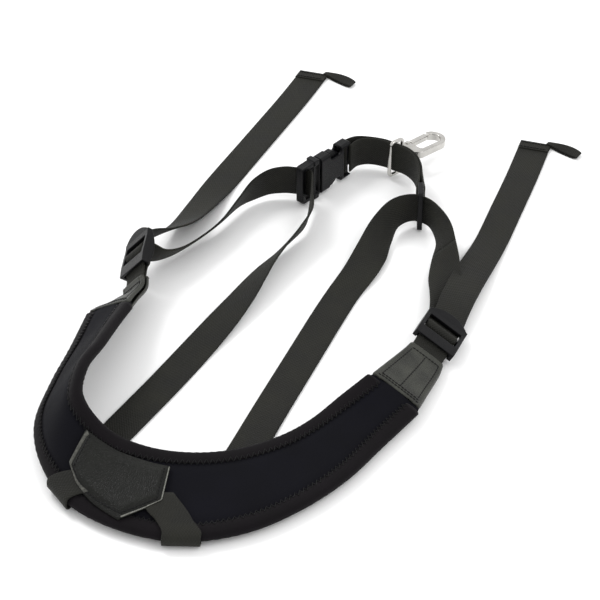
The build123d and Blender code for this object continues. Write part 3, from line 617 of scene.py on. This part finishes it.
# %% Pad
FOAM_HALF, FOAM_CROWN, FOAM_ROUND, CROWN_FROM, CROWN_OVER = 2.25, 0.95, 2.2, 7.0, 9.0
TUCK_S, TUCK_T = 0.2, np.array([-0.86, 0.86])


def pad_section_rings():
    """Lens section: half thickness 2.25 mm under the trim, eased up to 3.2 mm in the middle."""
    tucks = tab_place("left", TUCK_S, TUCK_T, 0), tab_place("right", TUCK_S, -TUCK_T, 0)
    line = smooth(np.concatenate([tucks[:1], PAD, tucks[1:]]), PAD_STEPS)
    width = np.linalg.norm(line[:, 1] - line[:, 0], axis=1)[:, None]
    v = (1 - np.cos(np.linspace(0, pi, 33))) / 2
    inset = np.minimum(v, 1 - v) * width
    crown = FOAM_CROWN * ease((inset - CROWN_FROM) / CROWN_OVER)
    half = FOAM_HALF * quarter_round(inset / FOAM_ROUND) + crown
    sway = 0.5 * np.sin(np.arange(len(line)) * 0.37)[:, None] * np.sin(pi * v) ** 2
    across = (v - 0.5) * width
    top = np.stack([across, half + sway], -1)
    under = np.stack([across, sway - half], -1)[:, ::-1]
    return carry(line, np.concatenate([top, under], 1))


pad = grid_piece("neoprene_pad", pad_section_rings(), NEOPRENE, "neoprene", "neck_pad")
print("pad has", len(pad.data.polygons), "faces")

# %% Trim
TRIM_W, TRIM_OUT, TRIM_PUFF, TRIM_IN = 9.0, 3.15, 0.85, 2.6


def c_line(arm, height, fold, reach, bend):
    """C of insets and lifts: in along the top arm, half an ellipse round the fold, back below."""
    turn = np.linspace(0, pi, 13)[1:-1]
    top = np.stack([arm, height], 1)
    round_fold = np.stack([fold - reach * np.sin(turn), bend * np.cos(turn)], 1)
    return np.concatenate([top, round_fold, top[::-1] * (1, -1)])


def trim_rings(edge):
    """Section between two Cs, the outer one puffed by a power of a sine, carried along an edge."""
    arm = np.linspace(TRIM_W, 0.6, 12)
    puff = TRIM_OUT + TRIM_PUFF * np.sin(pi * (TRIM_W - arm) / TRIM_W) ** 0.6
    outer = c_line(arm, puff, 0.6, 2.5, TRIM_OUT)
    inner = c_line(arm + 0.15, np.full(12, TRIM_IN), 0.4, 1.4, TRIM_IN)[::-1]
    inset, lift = np.concatenate([outer, inner]).T[:, None]
    u = np.linspace(0.06, PAD_LAST - 0.06, 150)[:, None]
    if edge == "inner":
        inset = pad_width(u) - inset
    ripple = 0.18 * np.sin(u * 41) * np.sign(lift)
    return to_world(on_pad(u, inset, lift + ripple))


for edge, line in (("outer", PAD_LINE[:, 0]), ("inner", PAD_LINE[:, 1])):
    trim = grid_piece(f"{edge}_trim", trim_rings(edge), BINDING, "binding", f"{edge}_binding")

# %% [markdown]
# ## Thread
# The trim is held by a zigzag near its inner side, and the leather by runs of straight stitches. A zigzag is
# one fine tube through points left and right of a line. A straight stitch is a small grain-shaped body,
# repeated along a line. A bump would be cheaper, but thread that stands up catches the light.

# %% Zigzags
ASIDE = (0.31, 0.17, 0.93)
THREAD_R, ZIGZAG_STEP, ZIGZAG_INSET, ZIGZAG_SWING = 0.38, 0.95, 8.6, 1.9
SIDES = 6
ROUND = np.arange(SIDES)[:, None] * 2 * pi / SIDES


def thread_rings(travel):
    """Unit circle square to each direction of travel, from a side and an up direction."""
    side = unit(np.cross(travel, ASIDE))
    up = np.cross(side, travel)
    return side[:, None] * np.cos(ROUND) + up[:, None] * np.sin(ROUND)


def zigzag(edge, facing):
    """Path in metres: every 0.95 mm along an edge, its inset is the next of 8.6, 10.5, 8.6 and 6.7 mm."""
    u = np.linspace(0.1, PAD_LAST - 0.1, 4000)
    column = np.zeros_like(u) if edge == "outer" else pad_width(u)
    run = run_along(on_pad(u, column, 0))
    count = int(run[-1] / ZIGZAG_STEP)
    u = np.interp(np.linspace(0, run[-1], count), run, u)
    swing = np.array([0, 1, 0, -1])[np.arange(count) % 4] * ZIGZAG_SWING
    inset = ZIGZAG_INSET + swing
    across = inset if edge == "outer" else pad_width(u) - inset
    return to_world(on_pad(u, across, facing * (3.62 - 0.12 * swing)))


for edge in ("outer", "inner"):
    for facing, word in ((1, "top"), (-1, "under")):
        path = zigzag(edge, facing)
        rings = path[:, None] + THREAD_R * MM * thread_rings(unit(np.gradient(path, axis=0)))
        grid_piece(f"{edge}_zigzag_{word}", rings, THREAD, "tape")
        print(edge, word, "has", len(path) // 4, "zigzags")

# %% Straight stitches
STITCH_PITCH, STITCH_LENGTH, STITCH_R, STITCH_RINGS = 2.6, 2.4, 0.48, 5


def stitch_bodies(path):
    """Rings of each stitch along a path in mm; a ring's radius follows the square root of 1 - t squared."""
    t = np.linspace(-1, 1, STITCH_RINGS)
    fat = np.sqrt(np.clip(1 - t * t, 0.06, 1))
    run = run_along(path)
    stops = np.arange(STITCH_PITCH / 2, run[-1], STITCH_PITCH)
    middle, ahead, behind = (between(stops + step, run, path) for step in (0, 0.3, -0.3))
    travel = unit(ahead - behind)
    centres = middle[:, None, None] + travel[:, None, None] * t[:, None, None] * STITCH_LENGTH / 2
    return centres + thread_rings(travel)[:, None] * fat[:, None, None] * STITCH_R


def stitch_piece(name, paths):
    """One piece of all the stitches on some paths: quads between neighbouring rings, a face on each end."""
    bodies = np.concatenate([stitch_bodies(path) for path in paths])
    points = to_world(bodies.reshape(-1, 3))
    body = STITCH_RINGS * SIDES
    n, i, j = np.indices((len(bodies), STITCH_RINGS - 1, SIDES))
    low = n * body + i * SIDES
    k = (j + 1) % SIDES
    quads = np.stack([low + j, low + k, low + SIDES + k, low + SIDES + j], -1).reshape(-1, 4)
    starts = np.arange(len(bodies))[:, None] * body
    first = starts + np.arange(SIDES)[::-1]
    last = starts + body - SIDES + np.arange(SIDES)
    turned = -1 if signed_volume(points, quads) < 0 else 1
    faces = [face[::turned] for face in quads.tolist() + first.tolist() + last.tolist()]
    mesh = bpy.data.meshes.new(name)
    mesh.from_pydata(points.tolist(), [], faces)
    mesh.polygons.foreach_set("use_smooth", np.ones(len(mesh.polygons), bool))
    mesh.validate()
    piece(name, mesh, THREAD, "harness", "tape")
    print(name, len(bodies), "stitches")


def tab_stitches(side, facing):
    """Runs on a tab: two slanting sides, a row near the adjuster, a middle line, two rows at the pad."""
    runs = []
    lines = [((0.13, -0.76), (0.8, -0.74)), ((0.8, -0.74), (0.8, 0.74)), ((0.8, 0.74), (0.13, 0.76)),
             ((0.13, 0.0), (0.8, 0.0)), ((0.13, -0.76), (0.13, 0.76)), ((0.07, -0.85), (0.07, 0.85))]
    for line in lines:
        s, t = np.linspace(*line, 60).T
        runs.append(tab_place(side, s, t, facing * (tab_height(s, t) + 0.08)))
    return runs


for side in TABS:
    for facing, word in ((1, "front"), (-1, "back")):
        stitch_piece(f"{side}_tab_stitches_{word}", tab_stitches(side, facing))

# %% [markdown]
# ## Straps
# Each strap is one webbing. From its free end it goes down into the adjuster, over the middle bar and out
# again below itself, then forward to the buckle or the loop, and back along the surface under the pad, round
# its outer edge and under the patch. One long curve is worked out and then cut where a joint needs it, so the
# cut ends meet exactly, and the last part, which ends under the patch, rides on the harness.

# %% Routes inside the hardware
BUCKLE = ((-0.4, 121.5, 17.0), (0.667, 0.745, 0.0))
UP = np.array((0.0, 0.0, 1.0))
MID_Y, MID_Z, MID_TURN, FRONT_Y = 18.5, -0.5, 3.0, 26.5
TAIL_Z, LOAD_Z, TURN_PLACES = -2.9, -5.5, 9


def in_buckle(x, z):
    """Place in the buckle: x along it from the webbing's end, z out of its face."""
    origin, along = np.array(BUCKLE[0]), unit(BUCKLE[1])
    return origin + along * x + np.cross(along, UP) * z


def edge_on(middles):
    """Edge pairs of webbing that stands on edge at its places."""
    return pair_up(middles, UP * HALF)


def lock_turn(lock, near_tail, near_load):
    """Tail in above, three places round the middle bar, load side out below, as edge pairs."""
    angles = np.radians((20, 90, 160))
    bar = np.stack([MID_Y + MID_TURN * np.cos(angles), MID_Z + MID_TURN * np.sin(angles)], 1)
    places = [(near_tail, TAIL_Z), (FRONT_Y, TAIL_Z), (MID_Y + 4.6, MID_Z - 1.2), *bar,
              (MID_Y - 3.2, MID_Z - 2.2), (MID_Y - 0.8, LOAD_Z + 0.3), (near_load, LOAD_Z)]
    return [lock_pair(lock, HALF, y, z) for y, z in places]


def pad_pair(first, second, lift):
    """Edge pair on the pad, each edge given by its station and its mm in from the outer edge."""
    return np.stack([on_pad(*first, lift), on_pad(*second, lift)])


ON_PAD, FOLD_OUT = 5.3, 4.8


def fold_round_edge(u_first, u_second, skew):
    """Half an ellipse round the pad's outer edge, from the under side to the top, which leans by the skew."""
    pairs = [pad_pair((u_first, TRIM_W), (u_second, TRIM_W), -ON_PAD)]
    for angle in np.radians((0, 45, 90, 135, 180)):
        out, height = -FOLD_OUT * sin(angle), -ON_PAD * cos(angle)
        pairs.append(pad_pair((u_first, out), (u_second, out), height))
    pairs.append(pad_pair((u_first + skew, TRIM_W), (u_second + skew, TRIM_W), ON_PAD))
    return pairs


print("buckle's webbing turns at", in_buckle(0, 0).round(1))

# %% Left strap
LEFT_END, RIGHT_END = (12, 314, 0), (191.5, 206, 0)
LEFT_TAIL = webs((*LEFT_END, 0.95, -0.3, 0), (-5, 274, 0, 0.917, -0.4, 0), (-38.5, 201, 0, 0.91, -0.42, 0),
                 (-62, 150, 0.2, 0.91, -0.42, 0), (-77, 113, 4, 0.86, -0.42, 0.22),
                 (-89, 83, 9.5, 0.78, -0.42, 0.42), (-102, 58, 19, 0.67, -0.4, 0.62))
LEFT_FORWARD = webs((-105, 30, 18.5, 0.52, -0.42, 0.74), (-94, 38.5, 14.5, 0.45, -0.52, 0.72),
                    (-79, 56, 12.0, 0.3, -0.65, 0.7), (-61, 80, 12.0, 0.15, -0.72, 0.68),
                    (-47, 105, 13, 0.02, -0.65, 0.76), (-35, 121, 14.5, -0.05, -0.3, 0.95),
                    (-23, 129, 16, 0, -0.08, 1))
LEFT_TURN = [edge_on(in_buckle(x, z)) for x, z in ((-0.5, -13.5), (3.6, -7.2), (7.0, -2.4), (8.3, 1.5),
                                                   (7.6, 6.0), (3.2, 10.5))]
LEFT_DOWN = webs((8, 101.5, 16, 0.1, 0, 0.99), (6, 82, 15, 0.3, -0.15, 0.94), (-3, 65, 13, 0.4, -0.25, 0.87),
                 (-14, 47.5, 11.2, 0.45, -0.4, 0.8), (-25, 30.5, 9.6, 0.6, -0.42, 0.68),
                 (-34, 13.5, 7.6, 0.72, -0.45, 0.52), (-42.4, -3, 5.4, 0.8, -0.47, 0.35),
                 (-57, -29.5, 2.6, 0.86, -0.48, 0.12), (-77, -64, 0, 0.87, -0.49, 0),
                 (-96, -98, 0, 0.87, -0.49, 0), (-116, -132, 0, 0.87, -0.49, 0),
                 (-134, -163, 0, 0.86, -0.51, 0))
LEFT_TOP = [pad_pair((4.75, 19), (5.52, 11), ON_PAD), pad_pair((5.15, 33), (5.95, 19), ON_PAD)]
LEFT_ROUTE = (LEFT_TAIL + lock_turn(LEFT_LOCK, FRONT_Y + 6, MID_Y + 4) + LEFT_FORWARD + LEFT_TURN + LEFT_DOWN
              + fold_round_edge(4.3, 5.05, 0.2) + LEFT_TOP)
print("left route has", len(LEFT_ROUTE), "places")

# %% Right strap
RIGHT_TAIL = webs((*RIGHT_END, 0.95, -0.3, 0), (184, 183, 0, 0.94, -0.34, 0),
                  (175, 155.7, 0, 0.94, -0.33, 0), (159.6, 112, 0, 0.94, -0.33, 0),
                  (144.8, 70, 0.6, 0.94, -0.33, 0), (133, 38.6, 5, 0.92, -0.34, -0.15),
                  (122, 9, 10, 0.88, -0.35, -0.3), (112.5, -18, 12.5, 0.84, -0.36, -0.4))
RIGHT_FORWARD = webs((103.5, -26, 8.2, 0.82, -0.35, -0.44), (105, -8, 8.3, 0.87, -0.32, -0.3),
                     (106, 10, 8.8, 0.9, -0.28, 0.05), (107, 28, 10.5, 0.82, -0.25, 0.42),
                     (107.5, 46, 13.2, 0.62, -0.2, 0.74), (107.5, 61, 15.5, 0.38, -0.08, 0.9),
                     (103.5, 76, 16.4, 0.15, 0, 0.98))
RIGHT_CREST = webs((97, 88, 16.5, 0, 0, 1), (86.5, 93.5, 16.5, 0, 0, 1), (73, 88, 15.5, -0.15, 0.15, 0.95),
                   (62.5, 71, 12, -0.5, 0.4, 0.75), (54, 50, 7.5, -0.8, 0.42, 0.4),
                   (44.5, 30, 3.5, -0.9, 0.4, 0.12))
RIGHT_DOWN = webs((32, 8, 0, -0.93, 0.37, 0), (21, -18, 0, -0.93, 0.37, 0), (0, -71, 0, -0.93, 0.36, 0),
                  (-19, -119, 0, -0.93, 0.36, 0), (-38, -168, 0, -0.93, 0.36, 0),
                  (-55, -210, 0, -0.94, 0.34, 0))
RIGHT_TOP = [pad_pair((7.07, 18), (6.4, 13), ON_PAD), pad_pair((6.72, 32), (6.12, 25), ON_PAD)]
RIGHT_ROUTE = (RIGHT_TAIL + lock_turn(RIGHT_LOCK, FRONT_Y + 8, MID_Y + 6) + RIGHT_FORWARD + RIGHT_CREST
               + RIGHT_DOWN + fold_round_edge(7.35, 6.65, -0.14) + RIGHT_TOP)
print("right route has", len(RIGHT_ROUTE), "places")

# %% Cut the straps
STRAP_STEPS = 6


def strap_parts(name, route, cuts, node):
    """Parts of one smooth line between the cut places, each with the same woven section."""
    line = smooth(np.array(route), STRAP_STEPS)
    run = run_along(line.mean(1)) * MM
    stops = [0, *[cut * STRAP_STEPS for cut in cuts], len(line) - 1]
    rings = carry(line, webbing_section())
    parts = []
    for number, (low, high) in enumerate(zip(stops, stops[1:])):
        mesh = tube_mesh(f"{name}_{number}", rings[low:high + 1], along=run[low:high + 1])
        part = piece(f"{name}_{number}", mesh, WEBBING, None, "webbing", node)
        parts.append(part)
    print(name, "is", round(float(run[-1]), 3), "m long, in", len(parts), "parts")
    return parts


after_lock = len(LEFT_TAIL) + TURN_PLACES
left_cuts = [after_lock + 3, after_lock + len(LEFT_FORWARD + LEFT_TURN) + 3]
upper, latch_part, lower = strap_parts("left_webbing", LEFT_ROUTE, left_cuts, "left_strap")
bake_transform(upper)
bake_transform(latch_part)
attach(lower, "harness")

right_cuts = [len(RIGHT_TAIL) + TURN_PLACES + 4]
upper, lower = strap_parts("right_webbing", RIGHT_ROUTE, right_cuts, "right_strap")
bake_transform(upper)
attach(lower, "harness")

# %% [markdown]
# ## Short webbings and pull loops
# Each adjuster hangs on a short folded webbing. The crossbar is a doubled webbing that stands on edge: round
# the buckle's bar at one end and the plastic loop's bar at the other. The pull loops are narrow tape with its
# ends sewn into the corner of a free end, so the tape turns over as it comes round.

# %% Anchor webbings
LAYER_GAP, WRAP, BAR_D, BAR_Y = 0.4, 1.0, 3.6, 6.0


def anchor_route(lock):
    """In along the tab, round the back bar on a circle one wrap off it, and back."""
    layer = (LAYER_GAP + WEB_T) / 2
    inside = TAB_END_Y - TAB_STRAIGHT + 1.0
    angles = np.radians((110, 60, 0, -60, -110))
    radius = BAR_D / 2 + WRAP
    around = np.stack([BAR_Y + radius * np.cos(angles), radius * np.sin(angles)], 1)
    before_bar, spread = BAR_Y - 4.5, layer + 0.4
    places = [(inside, layer), (TAB_END_Y, layer), (before_bar, spread), *around,
              (before_bar, -spread), (TAB_END_Y, -layer), (inside, -layer)]
    return np.array([lock_pair(lock, HALF, y, z + BAR_Z) for y, z in places])


for side, lock in (("left", LEFT_LOCK), ("right", RIGHT_LOCK)):
    line = smooth(anchor_route(lock), 6)
    rings = carry(line, webbing_section())
    anchor = grid_piece(f"{side}_anchor", rings, WEBBING, "webbing", f"{side}_anchor_webbing")

# %% Crossbar
RING_AT, RING_ALONG = np.array((75.5, 161.5, 17.0)), unit((0.82, -0.57, 0.0))
BASE_L, SHELL_L, END_BAR, LOOP_BAR, MOUTH_GAP = 20.5, 34.0, 3.5, 3.6, 0.3


def round_end(centre, ahead, radii, degrees):
    """Ellipse round a bar: ahead times the cosine, and to its side times the sine, each with its radius."""
    turn = np.radians(degrees)[:, None]
    return centre + ahead * radii[0] * np.cos(turn) + np.cross(ahead, UP) * radii[1] * np.sin(turn)


def crossbar_path():
    """Middle line of both layers: along the front, round the loop's bar, back, round the buckle's bar."""
    bar = in_buckle(BASE_L + MOUTH_GAP + SHELL_L - END_BAR / 2, 0)
    line = np.array([bar, (44.5, 170, 17), (55, 171, 17), *[RING_AT + RING_ALONG * s for s in (-10, 0, 10)],
                     (90, 146, 17), (92.6, 135, 17), (93, 122, 17), (92.6, 111, 17), LOOP_AT])
    normals = unit(np.cross(travel_of(line), UP))
    offsets = np.full((len(line), 1), (WEB_T + LAYER_GAP) / 2)
    offsets[1], offsets[-2] = 2.6, 1.7
    front, back = (line + normals * offsets)[1:-1], (line - normals * offsets)[1:-1][::-1]
    radius, bar_side = LOOP_BAR / 2 + WRAP, 4.3
    round_loop = round_end(line[-1], unit(line[-1] - line[-2]), (radius, radius), (80, 40, 0, -40, -80))
    ahead = -unit(BUCKLE[1])
    round_bar = round_end(bar, ahead, (END_BAR / 2 + WRAP + 1.0, bar_side), (100, 60, 0, -60))
    first = bar - np.cross(ahead, UP) * bar_side - ahead * 1.5
    return np.concatenate([[first], front, round_loop, back, round_bar])


line = smooth(edge_on(crossbar_path()), 6)
crossbar = grid_piece("crossbar", carry(line, webbing_section()), WEBBING, "webbing", "crossbar_webbing")

# %% Pull loops
END_ACROSS = unit((0.95, -0.3, 0.0))
LOOP_REACH, LOOP_HEADING, LOOP_LEAN = 28.5, radians(-34.0), radians(28)
TAPE_W, TAPE_T = 8.6, 1.2


def pull_loop_rings(end):
    """Long oval in profile from the strap's corner and back, widening from there with a half cosine."""
    corner = np.array(end) + END_ACROSS * (HALF - 3)
    a = np.radians(np.linspace(-178, 178, 61))[:, None]
    forward = np.array((cos(LOOP_HEADING), sin(LOOP_HEADING), 0))
    out = (1 + np.cos(a)) / 2
    path = corner + forward * LOOP_REACH * out + UP * (1.3 + 1.4 * np.sin(a) + 0.8 * (1 - out))
    lean = LOOP_LEAN * np.sin(pi * out)
    width = np.cross(UP, forward) * np.cos(lean) + UP * np.sin(lean)
    share = (0.42 + 0.58 * (1 - np.cos(pi * out ** 0.8)) / 2)[:, :, None]
    section = webbing_section(TAPE_W, TAPE_T) * np.concatenate([share, np.ones_like(share)], 2)
    return carry(pair_up(path, width), section)


print("pull loop has", len(pull_loop_rings(LEFT_END)), "rings")

# %% Hems
HEM_FROM, HEM_TO, HEM_LIFT, STITCH_LIFT = 0.3, 11.0, 1.25, 2.0


def hem_rings(end, inward):
    """Turned-back end of a strap: a thin webbing section carried inwards on its top face."""
    middle = np.array(end) + inward * np.linspace(HEM_FROM, HEM_TO, 12)[:, None] + UP * HEM_LIFT
    return carry(pair_up(middle, END_ACROSS * (HALF - 0.2)), webbing_section(WEB_W - 0.4, 1.0))


def hem_stitches(end, inward, rows):
    """Runs of stitches across the hem, at distances in from the end."""
    across = np.linspace(-HALF + 1.5, HALF - 1.5, 60)[:, None]
    return [np.array(end) + inward * row + END_ACROSS * across + UP * STITCH_LIFT for row in rows]


ENDS = {"left": (LEFT_END, unit((-17, -40, 0))), "right": (RIGHT_END, unit((-7.5, -23, 0)))}
for side, (end, inward) in ENDS.items():
    grid_piece(f"{side}_loop_tape", pull_loop_rings(end), WEBBING, "tape", f"{side}_pull_loop")
    grid_piece(f"{side}_hem", hem_rings(end, inward), WEBBING, "webbing")
    stitch_piece(f"{side}_hem_stitches", hem_stitches(end, inward, (2.5, 9.0)))

# %% [markdown]
# ## Patch
# A leather shield covers the two sewn strap ends. Its outline is straight from corner to corner, so spans
# across the pad give it. It is high where the straps lie under it and drops to the foam at its rim. Its left
# side shows the thick cut edge of the hide.

# %% Patch
SPANS = np.array([(4.62, 19, 43), (5.0, 11, 45), (5.45, 6, 47), (5.95, 2, 50), (6.35, 16, 52), (6.6, 24, 53)])
PATCH_T, PATCH_LOW, PATCH_RISE = 1.8, 5.0, 2.2


def rim_distance(s, t, along, across):
    """Rough mm to the nearest rim, from the patch's size along and across."""
    return np.minimum(np.minimum(s, 1 - s) * along, np.minimum(t, 1 - t) * across)


def patch_place(s, t, lift):
    """Place on the patch: s along its spans, t from the low to the high side, extra lift in mm."""
    s, t, lift = np.broadcast_arrays(s, t, lift)
    u, low, high = between(s, np.linspace(0, 1, len(SPANS)), SPANS).transpose(-1, *range(s.ndim))
    rise = PATCH_RISE * ease(rim_distance(s, t, 60, 34) / 7)
    height = PATCH_LOW + rise + 0.35 * np.sin(9 * s) * np.sin(pi * t)
    return on_pad(u, low + (high - low) * t, height + lift)


s, t = np.meshgrid(np.linspace(0, 1, 61), (1 - np.cos(np.linspace(0, pi, 41))) / 2, indexing="ij")
half = PATCH_T / 2 * quarter_round(rim_distance(s, t, 40, 34)) + 0.1
rings = to_world(np.concatenate([patch_place(s, t, half), patch_place(s, t, -half)[:, ::-1]], 1))
patch = grid_piece("shield_patch", rings, PATCH_SKIN, "leather", "back_patch")
print("patch has", len(patch.data.polygons), "faces")

# %% Patch edges and stitches
RIM_STEPS, RIM_LIFT, RIM_T = 90, 0.55, 1.7


def along_corners(corners, count):
    """Values s and t at even steps through corners of the patch."""
    share, stops = np.linspace(0, 1, count), np.linspace(0, 1, len(corners))
    return (np.interp(share, stops, values) for values in zip(*corners))


def patch_rim(name, corners, width, material):
    """Cut edge shown as a flattened tube along the patch's rim, waved a little as a knife leaves it."""
    s, t = along_corners(corners, RIM_STEPS)
    wave = 0.15 * np.sin(np.linspace(0, 1, RIM_STEPS) * 240)
    path = patch_place(s, t, RIM_LIFT) + wave[:, None] * UP
    inwards = patch_place(s + (0.5 - s) * 0.08, t + (0.5 - t) * 0.08, RIM_LIFT)
    pairs = np.stack([path, path + unit(inwards - path) * width], 1)
    grid_piece(name, carry(pairs, webbing_section(width, RIM_T)), material, "leather")


patch_rim("patch_cut_left", [(0.02, 0.98), (0.01, 0.5), (0.01, 0.04), (0.3, 0.02)], 3.6, RAW_EDGE)
patch_rim("patch_cut_right", [(0.62, 0.01), (0.8, 0.01), (0.985, 0.04), (0.985, 0.97)], 1.0, CUT_LINE)
s, t = along_corners([(0.09, 0.93), (0.09, 0.1), (0.32, 0.07), (0.62, 0.09), (0.92, 0.1), (0.92, 0.93)], 120)
stitch_piece("patch_stitches", [patch_place(s, t, PATCH_T / 2 + 0.1)])

# %% [markdown]
# ## Hardware
# Moulded and cast parts have no sharp corner. A bevel needs clean faces, which a triangulated frame part
# lacks, so a merged copy is rebuilt on a fine grid of cells and smoothed a few times. That rounds every edge
# by about the same small radius, which is what catches the light.

# %% Softened copies
MERGE_WITHIN = 2e-6


def softened(node, material, slot, body, cell, rounds):
    """Copy of a frame part on a grid of cells; each round moves a place halfway to its neighbours' mean."""
    mesh = frame["nodes"][node].data.copy()
    work = bmesh.new()
    work.from_mesh(mesh)
    bmesh.ops.remove_doubles(work, verts=work.verts, dist=MERGE_WITHIN)
    work.to_mesh(mesh)
    work.free()
    mesh.materials.clear()
    part = piece(node + "_soft", mesh, material, body, slot, node)
    grid = part.modifiers.new("grid", "REMESH")
    grid.mode = "VOXEL"
    grid.voxel_size = cell * MM
    grid.use_smooth_shade = True
    even = part.modifiers.new("even", "SMOOTH")
    even.factor = 0.5
    even.iterations = rounds
    view = part.evaluated_get(bpy.context.evaluated_depsgraph_get())
    part.data = bpy.data.meshes.new_from_object(view)
    part.data.name = node + "_soft"
    part.modifiers.clear()
    print(part.name, len(part.data.polygons), "faces")


SOFT = {"left_ladder_lock": "left_lock", "right_ladder_lock": "right_lock", "buckle_latch": "latch",
        "buckle_receptacle": "harness", "strap_loop": "loop", "upper_prong": "upper_prong",
        "lower_prong": "lower_prong"}
for node, body in SOFT.items():
    softened(node, PLASTIC, "black_plastic", body, 0.35, 5)
softened("hook_body", NICKEL, "nickel", "hook", 0.3, 10)
softened("hook_gate", NICKEL, "nickel", "gate", 0.25, 4)

PLAIN = {"hook_ring": NICKEL, "swivel_post": NICKEL, "gate_pin": NICKEL, "gate_spring": STEEL}
for node, material in PLAIN.items():
    data = frame["nodes"][node].data
    data.materials.clear()
    data.materials.append(material)
print("hardware done")

# %% [markdown]
# ## Surface, light and finish
# The surface is a plain pale sheet. A lamp high on the left gives the satin lights on leather and plastic, a
# wider and weaker one on the right opens the shadows, and the pale surroundings do the rest.

# %% Surface and light
REACH = 4.0
floor_mesh = bpy.data.meshes.new("surface")
corners = [(-REACH, -REACH, 0), (REACH, -REACH, 0), (REACH, REACH, 0), (-REACH, REACH, 0)]
floor_mesh.from_pydata(corners, [], [(0, 1, 2, 3)])
floor = new_object("surface", floor_mesh)
pale = bpy.data.materials.new("pale_surface")
pale.use_nodes = True
for key, value in {"Base Color": (0.93, 0.93, 0.93, 1), "Roughness": 0.9, "Specular IOR Level": 0.1}.items():
    pale.node_tree.nodes["Principled BSDF"].inputs[key].default_value = value
floor_mesh.materials.append(pale)

world = bpy.data.worlds.new("surroundings")
bpy.context.scene.world = world
world.use_nodes = True
background = world.node_tree.nodes["Background"]
background.inputs["Color"].default_value = (1, 1, 1, 1)
background.inputs["Strength"].default_value = 1.08
bpy.context.scene.view_settings.view_transform = "Standard"


def lamp(name, place, size, power):
    """Square area lamp at a place in metres, turned towards the middle of the surface."""
    light = bpy.data.lights.new(name, "AREA")
    light.size = size
    light.energy = power
    thing = new_object(name, light)
    thing.location = place
    thing.rotation_euler = (-Vector(place)).to_track_quat("-Z", "Y").to_euler()


lamp("key", (-0.9, 0.7, 1.5), 0.6, 12)
lamp("fill", (1.1, -0.6, 1.3), 1.2, 8)
